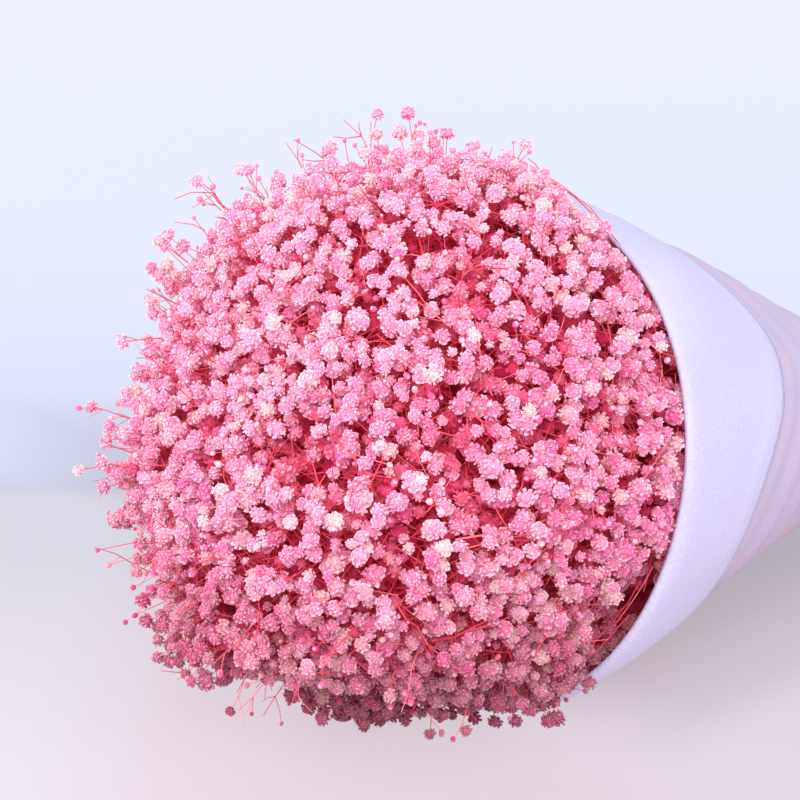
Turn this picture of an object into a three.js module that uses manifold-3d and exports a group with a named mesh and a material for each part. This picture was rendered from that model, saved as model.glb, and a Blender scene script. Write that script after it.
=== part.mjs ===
// A bunch of dyed, dried baby's breath (double gypsophila) in a white paper sleeve, lying down.
// Millimetres. Each piece is built along the bunch's own axis: x runs from the mouth of the
// sleeve towards the cut stems, z is up. The group then lays the bunch down on the plane z = 0,
// with the flat spot under the collar at the origin.

import * as THREE from 'three';
import { ConvexHull } from 'three/addons/math/ConvexHull.js';
import { mergeVertices } from 'three/addons/utils/BufferGeometryUtils.js';
import Module from 'manifold-3d';

// The paper sleeve, a cone with its mouth turned back into a collar.
const MOUTH_RADIUS = 124;
const NECK_AT = 420;
const NECK_RADIUS = 14.8;
const COLLAR_WIDTH = 78;
const CORNER_REACH = 42;
const CORNERS_AT = [146, 326].map(THREE.MathUtils.degToRad);
const CORNER_HALF = { before: 0.31, after: 0.5 };
const PAPER = 0.8;
const COLLAR_THICK = 2.4;
const FLAT_SPOT = { from: 1, to: 26 };
const SKIRT_LENGTH = 26;
const SKIRT_RADIUS = 21;
const PLEATS = 10;
const PLEAT_DEPTH = 1.2;
const PLEATS_FROM = 250;
const PLEATS_HALF_AT = 330;
const PLEATS_FULL_AT = 395;
const WAIST_LENGTH = 9;
const WAIST_PLEAT = 0.4;
const PAPER_SIDES = 40;
const FOLD_ROUND = 0.4;
const EDGE_CHAMFER = 0.5;

// How the bunch lies: its axis dips towards the cut ends.
const TILT = THREE.MathUtils.degToRad(12.5);

// The flower head, an egg with rather square shoulders, ahead of the mouth.
const HEAD_CENTRE = -35;
const HEAD_FRONT = 114;
const HEAD_BACK = 75;
const HEAD_RADIUS = 126.5;
const HEAD_SQUARENESS = 3.2;
const HEAD_SAG = 0.2;
const HEAD_CROWN = 0.07;
const HANG_TOWARDS = new THREE.Vector3(0, 0.12, -0.99).normalize();
const HANG_DEPTH = 22;
const HANG_WIDTH = 0.26;
const DENTS = [
  { towards: new THREE.Vector3(-0.32, 0.19, 0.93), depth: 9, width: 0.24 },
  { towards: new THREE.Vector3(-0.62, 0.66, 0.36), depth: 7, width: 0.3 },
  { towards: new THREE.Vector3(-0.78, 0.37, -0.5), depth: 6, width: 0.26 },
  { towards: new THREE.Vector3(-0.6, -0.24, -0.76), depth: 7, width: 0.26 },
];
const PRESSED_BELOW = 7;
const PRESSED_AHEAD = 9;
const PRESSED_TO = 0.25;
const CREASE_DEPTH = 6;
const CREASE_WIDTH = 8;

// The sprays fan out from a point behind the neck, one in the middle and two rings round it.
const FAN_AT = 466;
const INNER_RING = { count: 4, slope: 0.122, turn: 0.5 };
const OUTER_RING = { count: 8, slope: 0.22, turn: 0.15 };
const RING_WOBBLE = 0.006;
const SPRAY_GAP = 0.4;
const PAPER_GAP = 0.4;
const PAPER_FROM = 0.1;

// Blossoms that cover the head stand up from it; they are about twice their true size.
const BLOSSOMS = 730;
const BLOSSOM_STRAY = 0.02;
const BLOSSOM_PITCH = 11;
const BLOSSOM_CLEAR = 6;
const BLOSSOM_LIFT = 2.4;
const PETALS_OUT = 0.7;
const PETALS_DOWN = 3.6;
const HOLLOW_DEPTH = 10;
const BLOSSOMS_END = 14;

// Twigs that stand out of the head carry blossoms and buds of true size.
const TWIG_SHARE = 0.13;
const BUD_SHARE = 0.35;
const TWIG_RADIUS = 0.65;
const TWIG_OUT = 7;
const TWIG_OUT_SPREAD = 14;
const TWIG_LEAN = 0.5;
const TRUE_BLOSSOM_RADIUS = 4.2;
const BUD_RADIUS = 2;
const TWIG_ROOT = 11;
const TWIG_CLEAR = 9;
const TWIGS_END = -22;
const TWIGS_ABOVE = 25;

// Main stems, tight together in the neck, and the branches they fork into.
const STEM_RADIUS = 1.8;
const STEM_END = 500;
const STEM_END_SPREAD = 1.3;
const STEM_LENGTHS = 9;
const FORK_AT = 190;
const BRANCH_RADIUS = 1.3;
const BRANCHES = 2;
const BRANCH_REACH = 0.6;
const INNER_APEX = -30;
const OUTER_APEX = 22;
const STEM_INTO_CORE = 40;

// The tie round the neck, three turns of cord.
const TIE_CORD = 2.2;
const TIE_TURNS = 3;
const TIE_SIDES = 20;
const TIE_GAP = 0.4;
const TIE_GROOVE = 0.6;
const TIE_ROUND = 0.25;

const BLOSSOM_PINK = new THREE.MeshStandardMaterial({ color: 0xe58fb0, roughness: 0.95, metalness: 0 });
const PAPER_WHITE = new THREE.MeshStandardMaterial({ color: 0xefe9f6, roughness: 0.9, metalness: 0 });
const CORD_STRAW = new THREE.MeshStandardMaterial({ color: 0xcdb793, roughness: 0.9, metalness: 0 });

const wasm = await Module();
wasm.setup();

// A seeded draw between 0 and 1, the same on every run.
let seed = 20917;
function draw() {
  seed = (seed + 0x6d2b79f5) | 0;
  let mixed = Math.imul(seed ^ (seed >>> 15), 1 | seed);
  mixed = (mixed + Math.imul(mixed ^ (mixed >>> 7), 61 | mixed)) ^ mixed;
  return ((mixed ^ (mixed >>> 14)) >>> 0) / 4294967296;
}
const spread = (amount) => (2 * draw() - 1) * amount;

// Solids and meshes.
function solidOf(geometry) {
  const bare = geometry.clone();
  bare.deleteAttribute('normal');
  bare.deleteAttribute('uv');
  const merged = mergeVertices(bare, 1e-4);
  return new wasm.Manifold(new wasm.Mesh({
    numProp: 3,
    vertProperties: new Float32Array(merged.attributes.position.array),
    triVerts: new Uint32Array(merged.index.array),
  }));
}

function geometryOf(solid) {
  const mesh = solid.getMesh();
  const geometry = new THREE.BufferGeometry();
  geometry.setAttribute('position', new THREE.BufferAttribute(new Float32Array(mesh.vertProperties), 3));
  geometry.setIndex(new THREE.BufferAttribute(new Uint32Array(mesh.triVerts), 1));
  return geometry;
}

function meshOf(name, geometry, material) {
  const mesh = new THREE.Mesh(geometry, material);
  mesh.name = name;
  return mesh;
}

// The paper cone. It also bounds the head, where it is drawn on past the mouth.
const paperSlope = (MOUTH_RADIUS - NECK_RADIUS) / NECK_AT;
const insideOfPaper = (x) => MOUTH_RADIUS - paperSlope * x;

// Height of the mouth's centre, from the collar's lowest facet lying on the plane.
const facetHalfAngle = Math.PI / PAPER_SIDES;
const collarRadiusAtSpot = insideOfPaper(FLAT_SPOT.to) + COLLAR_THICK;
const MOUTH_HEIGHT = FLAT_SPOT.to * Math.sin(TILT)
  + collarRadiusAtSpot * Math.cos(facetHalfAngle) * Math.cos(TILT);
const upward = new THREE.Vector3(-Math.sin(TILT), 0, Math.cos(TILT));
const heightOf = (point) => MOUTH_HEIGHT + point.dot(upward);
const raiseTo = (point, height) => point.addScaledVector(upward, Math.max(0, height - heightOf(point)));

// Section of the sleeve, from the fold at the mouth along the inside to the skirt and back.
// Each point is its place along the axis, its radius and the height of the pleats there.
const skirtEnd = NECK_AT + SKIRT_LENGTH;
const gatheredPart = [
  [PLEATS_FROM, insideOfPaper(PLEATS_FROM), 0],
  [PLEATS_HALF_AT, insideOfPaper(PLEATS_HALF_AT), PLEAT_DEPTH / 2],
  [PLEATS_FULL_AT, insideOfPaper(PLEATS_FULL_AT), PLEAT_DEPTH],
  [NECK_AT - WAIST_LENGTH / 2, NECK_RADIUS, WAIST_PLEAT],
  [NECK_AT + WAIST_LENGTH / 2, NECK_RADIUS, WAIST_PLEAT],
  [skirtEnd, SKIRT_RADIUS, PLEAT_DEPTH],
];
const thickened = ([x, radius, pleat], wall) => [x, radius + wall, pleat];

// The collar's free edge reaches further back at two corners of the sheet.
function collarWidth(angle) {
  const corners = CORNERS_AT.map((corner) => {
    const turn = THREE.MathUtils.euclideanModulo(angle - corner + Math.PI, 2 * Math.PI) - Math.PI;
    const half = turn < 0 ? CORNER_HALF.before : CORNER_HALF.after;
    return Math.exp(-((turn / half) ** 2));
  });
  return COLLAR_WIDTH + CORNER_REACH * Math.max(...corners);
}

function paperSection(angle) {
  const smooth = (x, wall) => [x, insideOfPaper(x) + wall, 0];
  const edge = collarWidth(angle);
  return [
    smooth(FOLD_ROUND, EDGE_CHAMFER),
    smooth(FLAT_SPOT.to, 0),
    ...gatheredPart,
    ...gatheredPart.map((point) => thickened(point, PAPER)).reverse(),
    smooth(edge + EDGE_CHAMFER, PAPER),
    smooth(edge, COLLAR_THICK),
    smooth(FLAT_SPOT.to, COLLAR_THICK),
    smooth(FLAT_SPOT.from, COLLAR_THICK),
    smooth(FOLD_ROUND, COLLAR_THICK - EDGE_CHAMFER),
    smooth(-FOLD_ROUND, COLLAR_THICK / 2),
  ];
}

function makeWrap() {
  const count = paperSection(0).length;
  const positions = [];
  const index = [];
  for (let side = 0; side < PAPER_SIDES; side += 1) {
    const angle = (side + 0.5) * 2 * facetHalfAngle - Math.PI / 2;
    for (const [x, radius, pleat] of paperSection(angle)) {
      const r = radius + pleat * Math.cos(PLEATS * angle);
      const point = new THREE.Vector3(x, r * Math.cos(angle), r * Math.sin(angle));
      const wall = radius - insideOfPaper(x);
      raiseTo(point, x > collarWidth(angle) ? -Infinity : COLLAR_THICK - wall);
      positions.push(point.x, point.y, point.z);
    }
  }
  for (let side = 0; side < PAPER_SIDES; side += 1) {
    const here = side * count;
    const next = ((side + 1) % PAPER_SIDES) * count;
    for (let i = 0; i < count; i += 1) {
      const j = (i + 1) % count;
      index.push(here + i, here + j, next + j);
      index.push(here + i, next + j, next + i);
    }
  }
  const geometry = new THREE.BufferGeometry();
  geometry.setAttribute('position', new THREE.Float32BufferAttribute(positions, 3));
  geometry.setIndex(index);
  return meshOf('wrap', geometry, PAPER_WHITE);
}

function makeTie() {
  const inner = NECK_RADIUS + PAPER + WAIST_PLEAT + TIE_GAP;
  const start = NECK_AT - TIE_TURNS * TIE_CORD / 2;
  const profile = [new THREE.Vector2(inner, start)];
  for (let turn = 0; turn < TIE_TURNS; turn += 1) {
    const along = start + turn * TIE_CORD;
    if (turn > 0) profile.push(new THREE.Vector2(inner + TIE_CORD * TIE_GROOVE, along));
    profile.push(new THREE.Vector2(inner + TIE_CORD, along + TIE_CORD * TIE_ROUND));
    profile.push(new THREE.Vector2(inner + TIE_CORD, along + TIE_CORD * (1 - TIE_ROUND)));
  }
  profile.push(new THREE.Vector2(inner, start + TIE_TURNS * TIE_CORD));
  profile.push(profile[0].clone());
  const geometry = new THREE.LatheGeometry(profile, TIE_SIDES);
  geometry.rotateZ(-Math.PI / 2);
  return meshOf('tie', geometryOf(solidOf(geometry)), CORD_STRAW);
}

// Directions of the sprays, as sideways slopes seen from the fan point.
function ringOfSlopes({ count, slope, turn }) {
  return Array.from({ length: count }, (_, i) => {
    const angle = ((i + turn) * 2 * Math.PI) / count;
    return new THREE.Vector2(slope * Math.cos(angle) + spread(RING_WOBBLE),
      slope * Math.sin(angle) + spread(RING_WOBBLE));
  });
}
const sprays = [new THREE.Vector2(0, 0), ...ringOfSlopes(INNER_RING), ...ringOfSlopes(OUTER_RING)];

const slopeOf = (point) => new THREE.Vector2(point.y, point.z).divideScalar(FAN_AT - point.x);
const onSpray = (spray, x) => new THREE.Vector3(x, spray.x * (FAN_AT - x), spray.y * (FAN_AT - x));

function nearestSpray(point) {
  const slope = slopeOf(point);
  let best = 0;
  sprays.forEach((spray, i) => {
    if (slope.distanceTo(spray) < slope.distanceTo(sprays[best])) best = i;
  });
  return best;
}

// Planes through the fan point that part one spray from each of the others.
const fanPoint = new THREE.Vector3(FAN_AT, 0, 0);
function partingPlane(spray, other) {
  const away = other.clone().sub(spray);
  const middle = other.clone().add(spray).multiplyScalar(0.5);
  const normal = new THREE.Vector3(middle.dot(away), away.x, away.y).normalize();
  return new THREE.Plane().setFromNormalAndCoplanarPoint(normal, fanPoint);
}
const partings = sprays.map((spray) => new Map(sprays
  .map((other, i) => [i, other])
  .filter(([, other]) => other !== spray)
  .map(([i, other]) => [i, partingPlane(spray, other)])));

function clearanceOf(point, which) {
  return Math.min(...[...partings[which].values()].map((plane) => -plane.distanceToPoint(point)));
}

// How far the head reaches from its centre in a direction, before the creases between sprays.
// Underneath it hangs down to the plane that the bunch lies on.
const headCentre = new THREE.Vector3(HEAD_CENTRE, 0, 0);
const fromCentre = (direction, reach) => headCentre.clone().addScaledVector(direction, reach);

function headReach(direction) {
  const front = HEAD_FRONT * (1 - HEAD_SAG * direction.z);
  const along = Math.abs(direction.x) / (direction.x < 0 ? front : HEAD_BACK);
  const across = Math.hypot(direction.y, direction.z) / (HEAD_RADIUS * (1 + HEAD_CROWN * direction.z));
  const reach = (along ** HEAD_SQUARENESS + across ** HEAD_SQUARENESS) ** (-1 / HEAD_SQUARENESS);
  const dented = DENTS.map(({ towards, depth, width }) => (
    depth * Math.exp(-((direction.distanceTo(towards) / width) ** 2))));
  const underneath = direction.distanceTo(HANG_TOWARDS) / HANG_WIDTH;
  return reach - Math.max(...dented) + HANG_DEPTH * Math.exp(-(underneath ** 2));
}

// The furthest reach that stays inside the paper and above the plane it lies on.
function freeReach(direction) {
  const across = Math.hypot(direction.y, direction.z);
  const room = insideOfPaper(HEAD_CENTRE) * Math.cos(facetHalfAngle) - PAPER_GAP;
  const toPaper = direction.x > -PAPER_FROM ? room / (across + paperSlope * direction.x) : Infinity;
  const toPlane = heightOf(headCentre) / Math.max(1e-6, -direction.dot(upward));
  return Math.min(toPaper, toPlane);
}

function headPoint(direction, sunk) {
  const free = freeReach(direction);
  const reach = Math.min(headReach(direction), free);
  const place = fromCentre(direction, reach);
  const near = Math.max(0, clearanceOf(place, nearestSpray(place)));
  const crease = CREASE_DEPTH * Math.exp(-near / CREASE_WIDTH);
  return fromCentre(direction, Math.min(reach - crease - sunk, free));
}

// Petals that come near the plane ahead of the mouth are pressed onto it, so the bunch rests on them.
function pressed(point) {
  if (point.x > -PRESSED_AHEAD || heightOf(point) > PRESSED_BELOW) return point;
  const centreHeight = heightOf(headCentre);
  const drop = (centreHeight - PRESSED_TO) / (centreHeight - heightOf(point));
  return point.sub(headCentre).multiplyScalar(drop).add(headCentre);
}

// Keeps a point of a spray in its own share of the fan and above the plane.
function keepIn(point, which, margin) {
  for (let pass = 0; pass < 3; pass += 1) {
    for (const plane of partings[which].values()) {
      const over = plane.distanceToPoint(point) + SPRAY_GAP / 2 + margin;
      if (over > 0) point.addScaledVector(plane.normal, -over);
    }
    raiseTo(point, margin);
  }
  return point;
}

// Directions of the blossoms, spread evenly over the head, each well inside one spray's share.
const GOLDEN_ANGLE = Math.PI * (3 - Math.sqrt(5));

function evenDirections(count) {
  return Array.from({ length: count }, (_, i) => {
    const x = 1 - (2 * (i + 0.5)) / count;
    const ring = Math.sqrt(1 - x * x);
    const angle = i * GOLDEN_ANGLE;
    const direction = new THREE.Vector3(x, ring * Math.cos(angle), ring * Math.sin(angle));
    direction.x += spread(BLOSSOM_STRAY);
    direction.y += spread(BLOSSOM_STRAY);
    direction.z += spread(BLOSSOM_STRAY);
    return direction.normalize();
  });
}

// Blossoms that would sit deep in the sleeve belong to no spray and are left out.
const HIDDEN = -1;

function seatBlossoms() {
  const seats = [];
  for (const direction of evenDirections(BLOSSOMS)) {
    const place = fromCentre(direction, Math.min(headReach(direction), freeReach(direction)));
    for (const plane of partings[nearestSpray(place)].values()) {
      const over = plane.distanceToPoint(place) + BLOSSOM_CLEAR;
      if (over > 0) place.addScaledVector(plane.normal, -over);
    }
    const seated = place.clone().sub(headCentre).normalize();
    place.copy(fromCentre(seated, Math.min(headReach(seated), freeReach(seated))));
    const crowded = seats.some((seat) => seat.place.distanceTo(place) < BLOSSOM_PITCH);
    const spray = place.x > BLOSSOMS_END ? HIDDEN : nearestSpray(place);
    if (!crowded) seats.push({ direction: seated, place, spray });
  }
  return seats;
}
const seats = seatBlossoms();

function hullTriangles(points) {
  const places = new Map(points.map((point, i) => [point, i]));
  const triangles = [];
  for (const face of new ConvexHull().setFromPoints(points).faces) {
    const corners = [face.edge, face.edge.next, face.edge.next.next];
    triangles.push(corners.map((edge) => places.get(edge.head().point)));
  }
  return triangles;
}

// Each triangle of neighbouring blossoms has a hollow in its middle. A blossom is a crown with
// one petal edge towards each hollow round it. Where two sprays meet, the hollows lie along
// the plane that parts them.
const meetings = hullTriangles(seats.map((seat) => seat.direction)).map((blossoms) => {
  const direction = new THREE.Vector3();
  blossoms.forEach((i) => direction.add(seats[i].direction));
  return { blossoms, direction: direction.normalize() };
});
const meetingLeftOf = new Map();
meetings.forEach(({ blossoms }, meeting) => blossoms.forEach((i, turn) => {
  meetingLeftOf.set(`${i} ${blossoms[(turn + 1) % 3]}`, meeting);
}));

const apexOf = (which) => onSpray(sprays[which], which > INNER_RING.count ? OUTER_APEX : INNER_APEX);

// The dense part of a spray: its blossoms, closed by walls that run back to a point on the stem.
function makeCore(which) {
  const positions = [];
  const addPoint = (point) => positions.push(...point.toArray()) / 3 - 1;
  const apex = addPoint(apexOf(which));
  const hollows = new Map();
  const hollowAt = (meeting) => {
    if (!hollows.has(meeting)) {
      const { blossoms, direction } = meetings[meeting];
      const point = headPoint(direction, HOLLOW_DEPTH);
      const planes = blossoms.map((j) => partings[which].get(seats[j].spray)).filter(Boolean);
      [...planes, ...planes].forEach((plane) => plane.projectPoint(point.clone(), point));
      hollows.set(meeting, { point, index: addPoint(keepIn(point, which, 0)) });
    }
    return hollows.get(meeting);
  };
  const index = [];
  seats.forEach((seat, i) => {
    if (seat.spray !== which) return;
    const lift = spread(BLOSSOM_LIFT);
    const crown = addPoint(keepIn(pressed(headPoint(seat.direction, -lift)), which, 0));
    const edges = new Map();
    const edgeAt = (meeting) => {
      if (!edges.has(meeting)) {
        const towards = hollowAt(meeting).point.clone().sub(headCentre).normalize();
        const petal = seat.direction.clone().lerp(towards, PETALS_OUT).normalize();
        edges.set(meeting, addPoint(keepIn(pressed(headPoint(petal, PETALS_DOWN - lift)), which, 0)));
      }
      return edges.get(meeting);
    };
    meetings.filter(({ blossoms }) => blossoms.includes(i)).forEach(({ blossoms }) => {
      const neighbour = blossoms[(blossoms.indexOf(i) + 1) % 3];
      const left = meetingLeftOf.get(`${i} ${neighbour}`);
      const right = meetingLeftOf.get(`${neighbour} ${i}`);
      index.push(crown, edgeAt(right), edgeAt(left));
      index.push(edgeAt(right), hollowAt(right).index, hollowAt(left).index);
      index.push(edgeAt(right), hollowAt(left).index, edgeAt(left));
      if (seats[neighbour].spray !== which) index.push(hollowAt(left).index, hollowAt(right).index, apex);
    });
  });
  const geometry = new THREE.BufferGeometry();
  geometry.setAttribute('position', new THREE.Float32BufferAttribute(positions, 3));
  geometry.setIndex(index);
  return solidOf(geometry);
}

function rod(from, to, radius, sides) {
  const section = new THREE.Shape();
  for (let i = 0; i < sides; i += 1) {
    const angle = (i * 2 * Math.PI) / sides;
    if (i === 0) section.moveTo(radius, 0);
    else section.lineTo(radius * Math.cos(angle), radius * Math.sin(angle));
  }
  const extrudePath = new THREE.LineCurve3(from, to);
  return solidOf(new THREE.ExtrudeGeometry(section, { steps: 1, bevelEnabled: false, extrudePath }));
}

// A main stem, straight down the fan to the neck, and from there spreading to its cut end.
function makeStem(which) {
  const spray = sprays[which];
  const neck = onSpray(spray, NECK_AT);
  const end = new THREE.Vector3(STEM_END - STEM_LENGTHS * draw(), neck.y, neck.z);
  end.y *= STEM_END_SPREAD;
  end.z *= STEM_END_SPREAD;
  const top = onSpray(spray, apexOf(which).x - STEM_INTO_CORE);
  const above = rod(top, onSpray(spray, NECK_AT + 1), STEM_RADIUS, 6);
  return above.add(rod(neck, end, STEM_RADIUS, 6));
}

// Branches that leave the stem inside the sleeve and run into the back of the dense part.
function makeBranches(which) {
  const start = onSpray(sprays[which], FORK_AT);
  const own = seats.filter((seat) => seat.spray === which);
  return Array.from({ length: BRANCHES }, (_, i) => {
    const seat = own[Math.floor(((i + 0.5) / BRANCHES) * own.length)];
    const end = keepIn(apexOf(which).lerp(seat.place, BRANCH_REACH), which, BRANCH_RADIUS);
    return rod(start, end, BRANCH_RADIUS, 4);
  });
}

function makeTwig(direction, which, carriesBud) {
  const out = TWIG_OUT + TWIG_OUT_SPREAD * draw();
  const radius = carriesBud ? BUD_RADIUS : TRUE_BLOSSOM_RADIUS;
  const lean = new THREE.Vector3(spread(TWIG_LEAN), spread(TWIG_LEAN), spread(TWIG_LEAN));
  const root = keepIn(headPoint(direction, TWIG_ROOT), which, TWIG_RADIUS);
  const tip = headPoint(direction, -out).addScaledVector(lean, out);
  keepIn(tip, which, radius);
  const ball = carriesBud ? new THREE.OctahedronGeometry(radius) : new THREE.IcosahedronGeometry(radius);
  ball.rotateX(draw() * Math.PI);
  ball.rotateY(draw() * Math.PI);
  ball.translate(tip.x, tip.y, tip.z);
  return rod(root, tip, TWIG_RADIUS, 3).add(solidOf(ball));
}

const twigs = sprays.map(() => []);
for (const { direction, place, spray } of seats) {
  const free = spray !== HIDDEN && place.x < TWIGS_END && heightOf(place) > TWIGS_ABOVE;
  if (free && clearanceOf(place, spray) > TWIG_CLEAR && draw() < TWIG_SHARE) {
    twigs[spray].push(makeTwig(direction, spray, draw() < BUD_SHARE));
  }
}

function makeSpray(which) {
  const name = `spray_${String(which + 1).padStart(2, '0')}`;
  const pieces = [makeStem(which), ...makeBranches(which), ...twigs[which]];
  const solid = pieces.reduce((whole, piece) => whole.add(piece), makeCore(which));
  return meshOf(name, geometryOf(solid), BLOSSOM_PINK);
}

const bunch = new THREE.Group();
bunch.add(makeWrap(), makeTie(), ...sprays.map((_, which) => makeSpray(which)));
bunch.rotation.y = TILT;
const flatSpotMiddle = (FLAT_SPOT.from + FLAT_SPOT.to) / 2;
bunch.position.set(MOUTH_HEIGHT * Math.tan(TILT) - flatSpotMiddle / Math.cos(TILT), 0, MOUTH_HEIGHT);

const part = new THREE.Group();
part.add(bunch);
export default part;
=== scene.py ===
# A bunch of pink-dyed, dried baby's breath in a white paper sleeve, lying on its side.
# Metres. Each piece is made along the bunch's own axis and laid down by lay(): x runs from the
# mouth of the sleeve towards the cut stems, z is up.

import math
import random

import bmesh
import bpy
import numpy as np
from bpy.props import FloatProperty, FloatVectorProperty, IntProperty, PointerProperty
from mathutils import Color, Matrix, Vector, noise
from mathutils.bvhtree import BVHTree
from mathutils.kdtree import KDTree


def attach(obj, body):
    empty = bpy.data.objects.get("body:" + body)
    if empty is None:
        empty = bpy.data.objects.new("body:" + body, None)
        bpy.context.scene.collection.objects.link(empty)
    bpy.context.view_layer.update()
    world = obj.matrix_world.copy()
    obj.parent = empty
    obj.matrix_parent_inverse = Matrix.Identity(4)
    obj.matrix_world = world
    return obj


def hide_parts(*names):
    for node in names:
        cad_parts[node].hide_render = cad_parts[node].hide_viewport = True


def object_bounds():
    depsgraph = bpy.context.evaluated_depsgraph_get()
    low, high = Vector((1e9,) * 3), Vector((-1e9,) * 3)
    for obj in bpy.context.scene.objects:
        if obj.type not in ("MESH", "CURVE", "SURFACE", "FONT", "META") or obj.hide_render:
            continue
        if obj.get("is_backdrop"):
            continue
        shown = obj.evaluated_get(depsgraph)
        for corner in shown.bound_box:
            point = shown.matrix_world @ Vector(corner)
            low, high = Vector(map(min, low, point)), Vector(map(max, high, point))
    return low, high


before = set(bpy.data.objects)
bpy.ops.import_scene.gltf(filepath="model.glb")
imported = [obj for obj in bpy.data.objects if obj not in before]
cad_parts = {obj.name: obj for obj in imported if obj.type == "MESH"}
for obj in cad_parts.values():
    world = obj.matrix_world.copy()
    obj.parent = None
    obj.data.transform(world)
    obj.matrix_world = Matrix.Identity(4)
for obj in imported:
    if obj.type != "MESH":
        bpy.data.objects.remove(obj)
CAD_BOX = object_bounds()

bl_info = {
    "name": "Dried Baby's Breath Bunch",
    "version": (1, 0, 0),
    "blender": (4, 5, 0),
    "location": "View3D > Sidebar > Bunch",
    "description": "Makes the finished pieces of a dried flower bunch in a paper sleeve",
    "category": "Object",
}

MM = 0.001
SPRAYS = sorted(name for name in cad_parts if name.startswith("spray_"))

# How the bunch lies, as in the solids.
TILT = math.radians(12.5)
MOUTH_RADIUS = 0.124
NECK_AT = 0.420
NECK_RADIUS = 0.0148
FLAT_SPOT_MIDDLE = 0.0135
PAPER_SLOPE = (MOUTH_RADIUS - NECK_RADIUS) / NECK_AT
MOUTH_HEIGHT = 0.12207
MOUTH_SHIFT = MOUTH_HEIGHT * math.tan(TILT) - FLAT_SPOT_MIDDLE / math.cos(TILT)

# The flower head's form, as in the solids.
HEAD_CENTRE = Vector((-0.035, 0, 0))
HEAD_FRONT = 0.114
HEAD_BACK = 0.075
HEAD_RADIUS = 0.1265
HEAD_SQUARENESS = 3.2
HEAD_SAG = 0.2
HEAD_CROWN = 0.07
DENTS = (
    ((-0.32, 0.19, 0.93), 0.009, 0.24),
    ((-0.62, 0.66, 0.36), 0.007, 0.30),
    ((-0.78, 0.37, -0.50), 0.006, 0.26),
    ((-0.60, -0.24, -0.76), 0.007, 0.26),
)
HANG_TOWARDS = Vector((0, 0.12, -0.99)).normalized()
HANG_DEPTH = 0.022
HANG_WIDTH = 0.26
FAN_POINT = Vector((0.466, 0, 0))
FAN_WAY = (FAN_POINT - HEAD_CENTRE).normalized()

# How far every blossom and twig stays above the table.
TABLE_GAP = 0.0003

LAY = Matrix.Translation((MOUTH_SHIFT, 0, MOUTH_HEIGHT)) @ Matrix.Rotation(TILT, 4, "Y")
STAND = LAY.inverted()
UP = STAND.to_3x3() @ Vector((0, 0, 1))


def lay(point):
    """A point of the bunch's own axis in the frame that the solids use."""
    return LAY @ Vector(point)


def height_of(point):
    """How high a point of the bunch's own axis lies above the table."""
    return MOUTH_HEIGHT + Vector(point).dot(UP)


def inside_of_paper(x):
    return MOUTH_RADIUS - PAPER_SLOPE * x


def linear(red, green, blue):
    """A colour of 0 to 255 on screen, as the light that Blender counts in."""
    shares = [value / 255 for value in (red, green, blue)]
    return *(s / 12.92 if s <= 0.04045 else ((s + 0.055) / 1.055) ** 2.4 for s in shares), 1.0


def smooth(low, high, value):
    share = min(1.0, max(0.0, (value - low) / (high - low)))
    return share * share * (3 - 2 * share)


# Form of the head


def free_reach(direction):
    """The furthest reach from the head's centre that stays in the paper and above the table."""
    across = math.hypot(direction.y, direction.z)
    room = inside_of_paper(HEAD_CENTRE.x)
    to_paper = room / (across + PAPER_SLOPE * direction.x) if direction.x > -0.1 else math.inf
    to_table = height_of(HEAD_CENTRE) / max(1e-6, -direction.dot(UP))
    return min(to_paper, to_table)


def head_reach(direction):
    front = HEAD_FRONT * (1 - HEAD_SAG * direction.z)
    along = abs(direction.x) / (front if direction.x < 0 else HEAD_BACK)
    across = math.hypot(direction.y, direction.z) / (HEAD_RADIUS * (1 + HEAD_CROWN * direction.z))
    reach = (along**HEAD_SQUARENESS + across**HEAD_SQUARENESS) ** (-1 / HEAD_SQUARENESS)
    reach -= max(
        depth * math.exp(-(((direction - Vector(towards)).length / width) ** 2))
        for towards, depth, width in DENTS
    )
    underneath = (direction - HANG_TOWARDS).length / HANG_WIDTH
    return min(reach + HANG_DEPTH * math.exp(-(underneath**2)), free_reach(direction))


def even_directions(count, rng, stray):
    """Directions spread evenly over a ball, each strayed a little."""
    golden = math.pi * (3 - math.sqrt(5))
    for i in range(count):
        x = 1 - 2 * (i + 0.5) / count
        ring = math.sqrt(1 - x * x)
        angle = i * golden
        point = Vector((x, ring * math.cos(angle), ring * math.sin(angle)))
        yield (point + Vector(rng.uniform(-stray, stray) for _ in range(3))).normalized()


def growth_at(point):
    """The way that twigs grow at a point: out along the fan and a little away from the axis."""
    fan = (point - FAN_POINT).normalized()
    radial = (point - HEAD_CENTRE).normalized()
    return (fan + 0.8 * radial).normalized()


# Modelling by hand


def deselect_all():
    if bpy.context.mode != "OBJECT":
        bpy.ops.object.mode_set(mode="OBJECT")
    bpy.ops.object.select_all(action="DESELECT")


def take_up(piece):
    """Selects a piece, and nothing else, and makes it the active one."""
    deselect_all()
    bpy.context.view_layer.objects.active = piece
    piece.select_set(True)


def linked(name, data):
    """A new object of this data in the scene."""
    piece = bpy.data.objects.new(name, data)
    bpy.context.scene.collection.objects.link(piece)
    return piece


def faced_outward(angle):
    """Turns the active piece's faces outward and smooths edges below an angle in degrees."""
    bpy.ops.object.mode_set(mode="EDIT")
    bpy.ops.mesh.select_all(action="SELECT")
    bpy.ops.mesh.normals_make_consistent(inside=False)
    bpy.ops.object.mode_set(mode="OBJECT")
    bpy.ops.object.shade_smooth_by_angle(angle=math.radians(angle))


def vertices_chosen(piece, test):
    """Selects the vertices that pass a test, and nothing else, in edit mode."""
    mesh = bmesh.from_edit_mesh(piece.data)
    for face in mesh.faces:
        face.select = False
    for edge in mesh.edges:
        edge.select = False
    for vertex in mesh.verts:
        vertex.select = test(vertex.co)
    mesh.select_flush_mode()
    bmesh.update_edit_mesh(piece.data)


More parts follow.
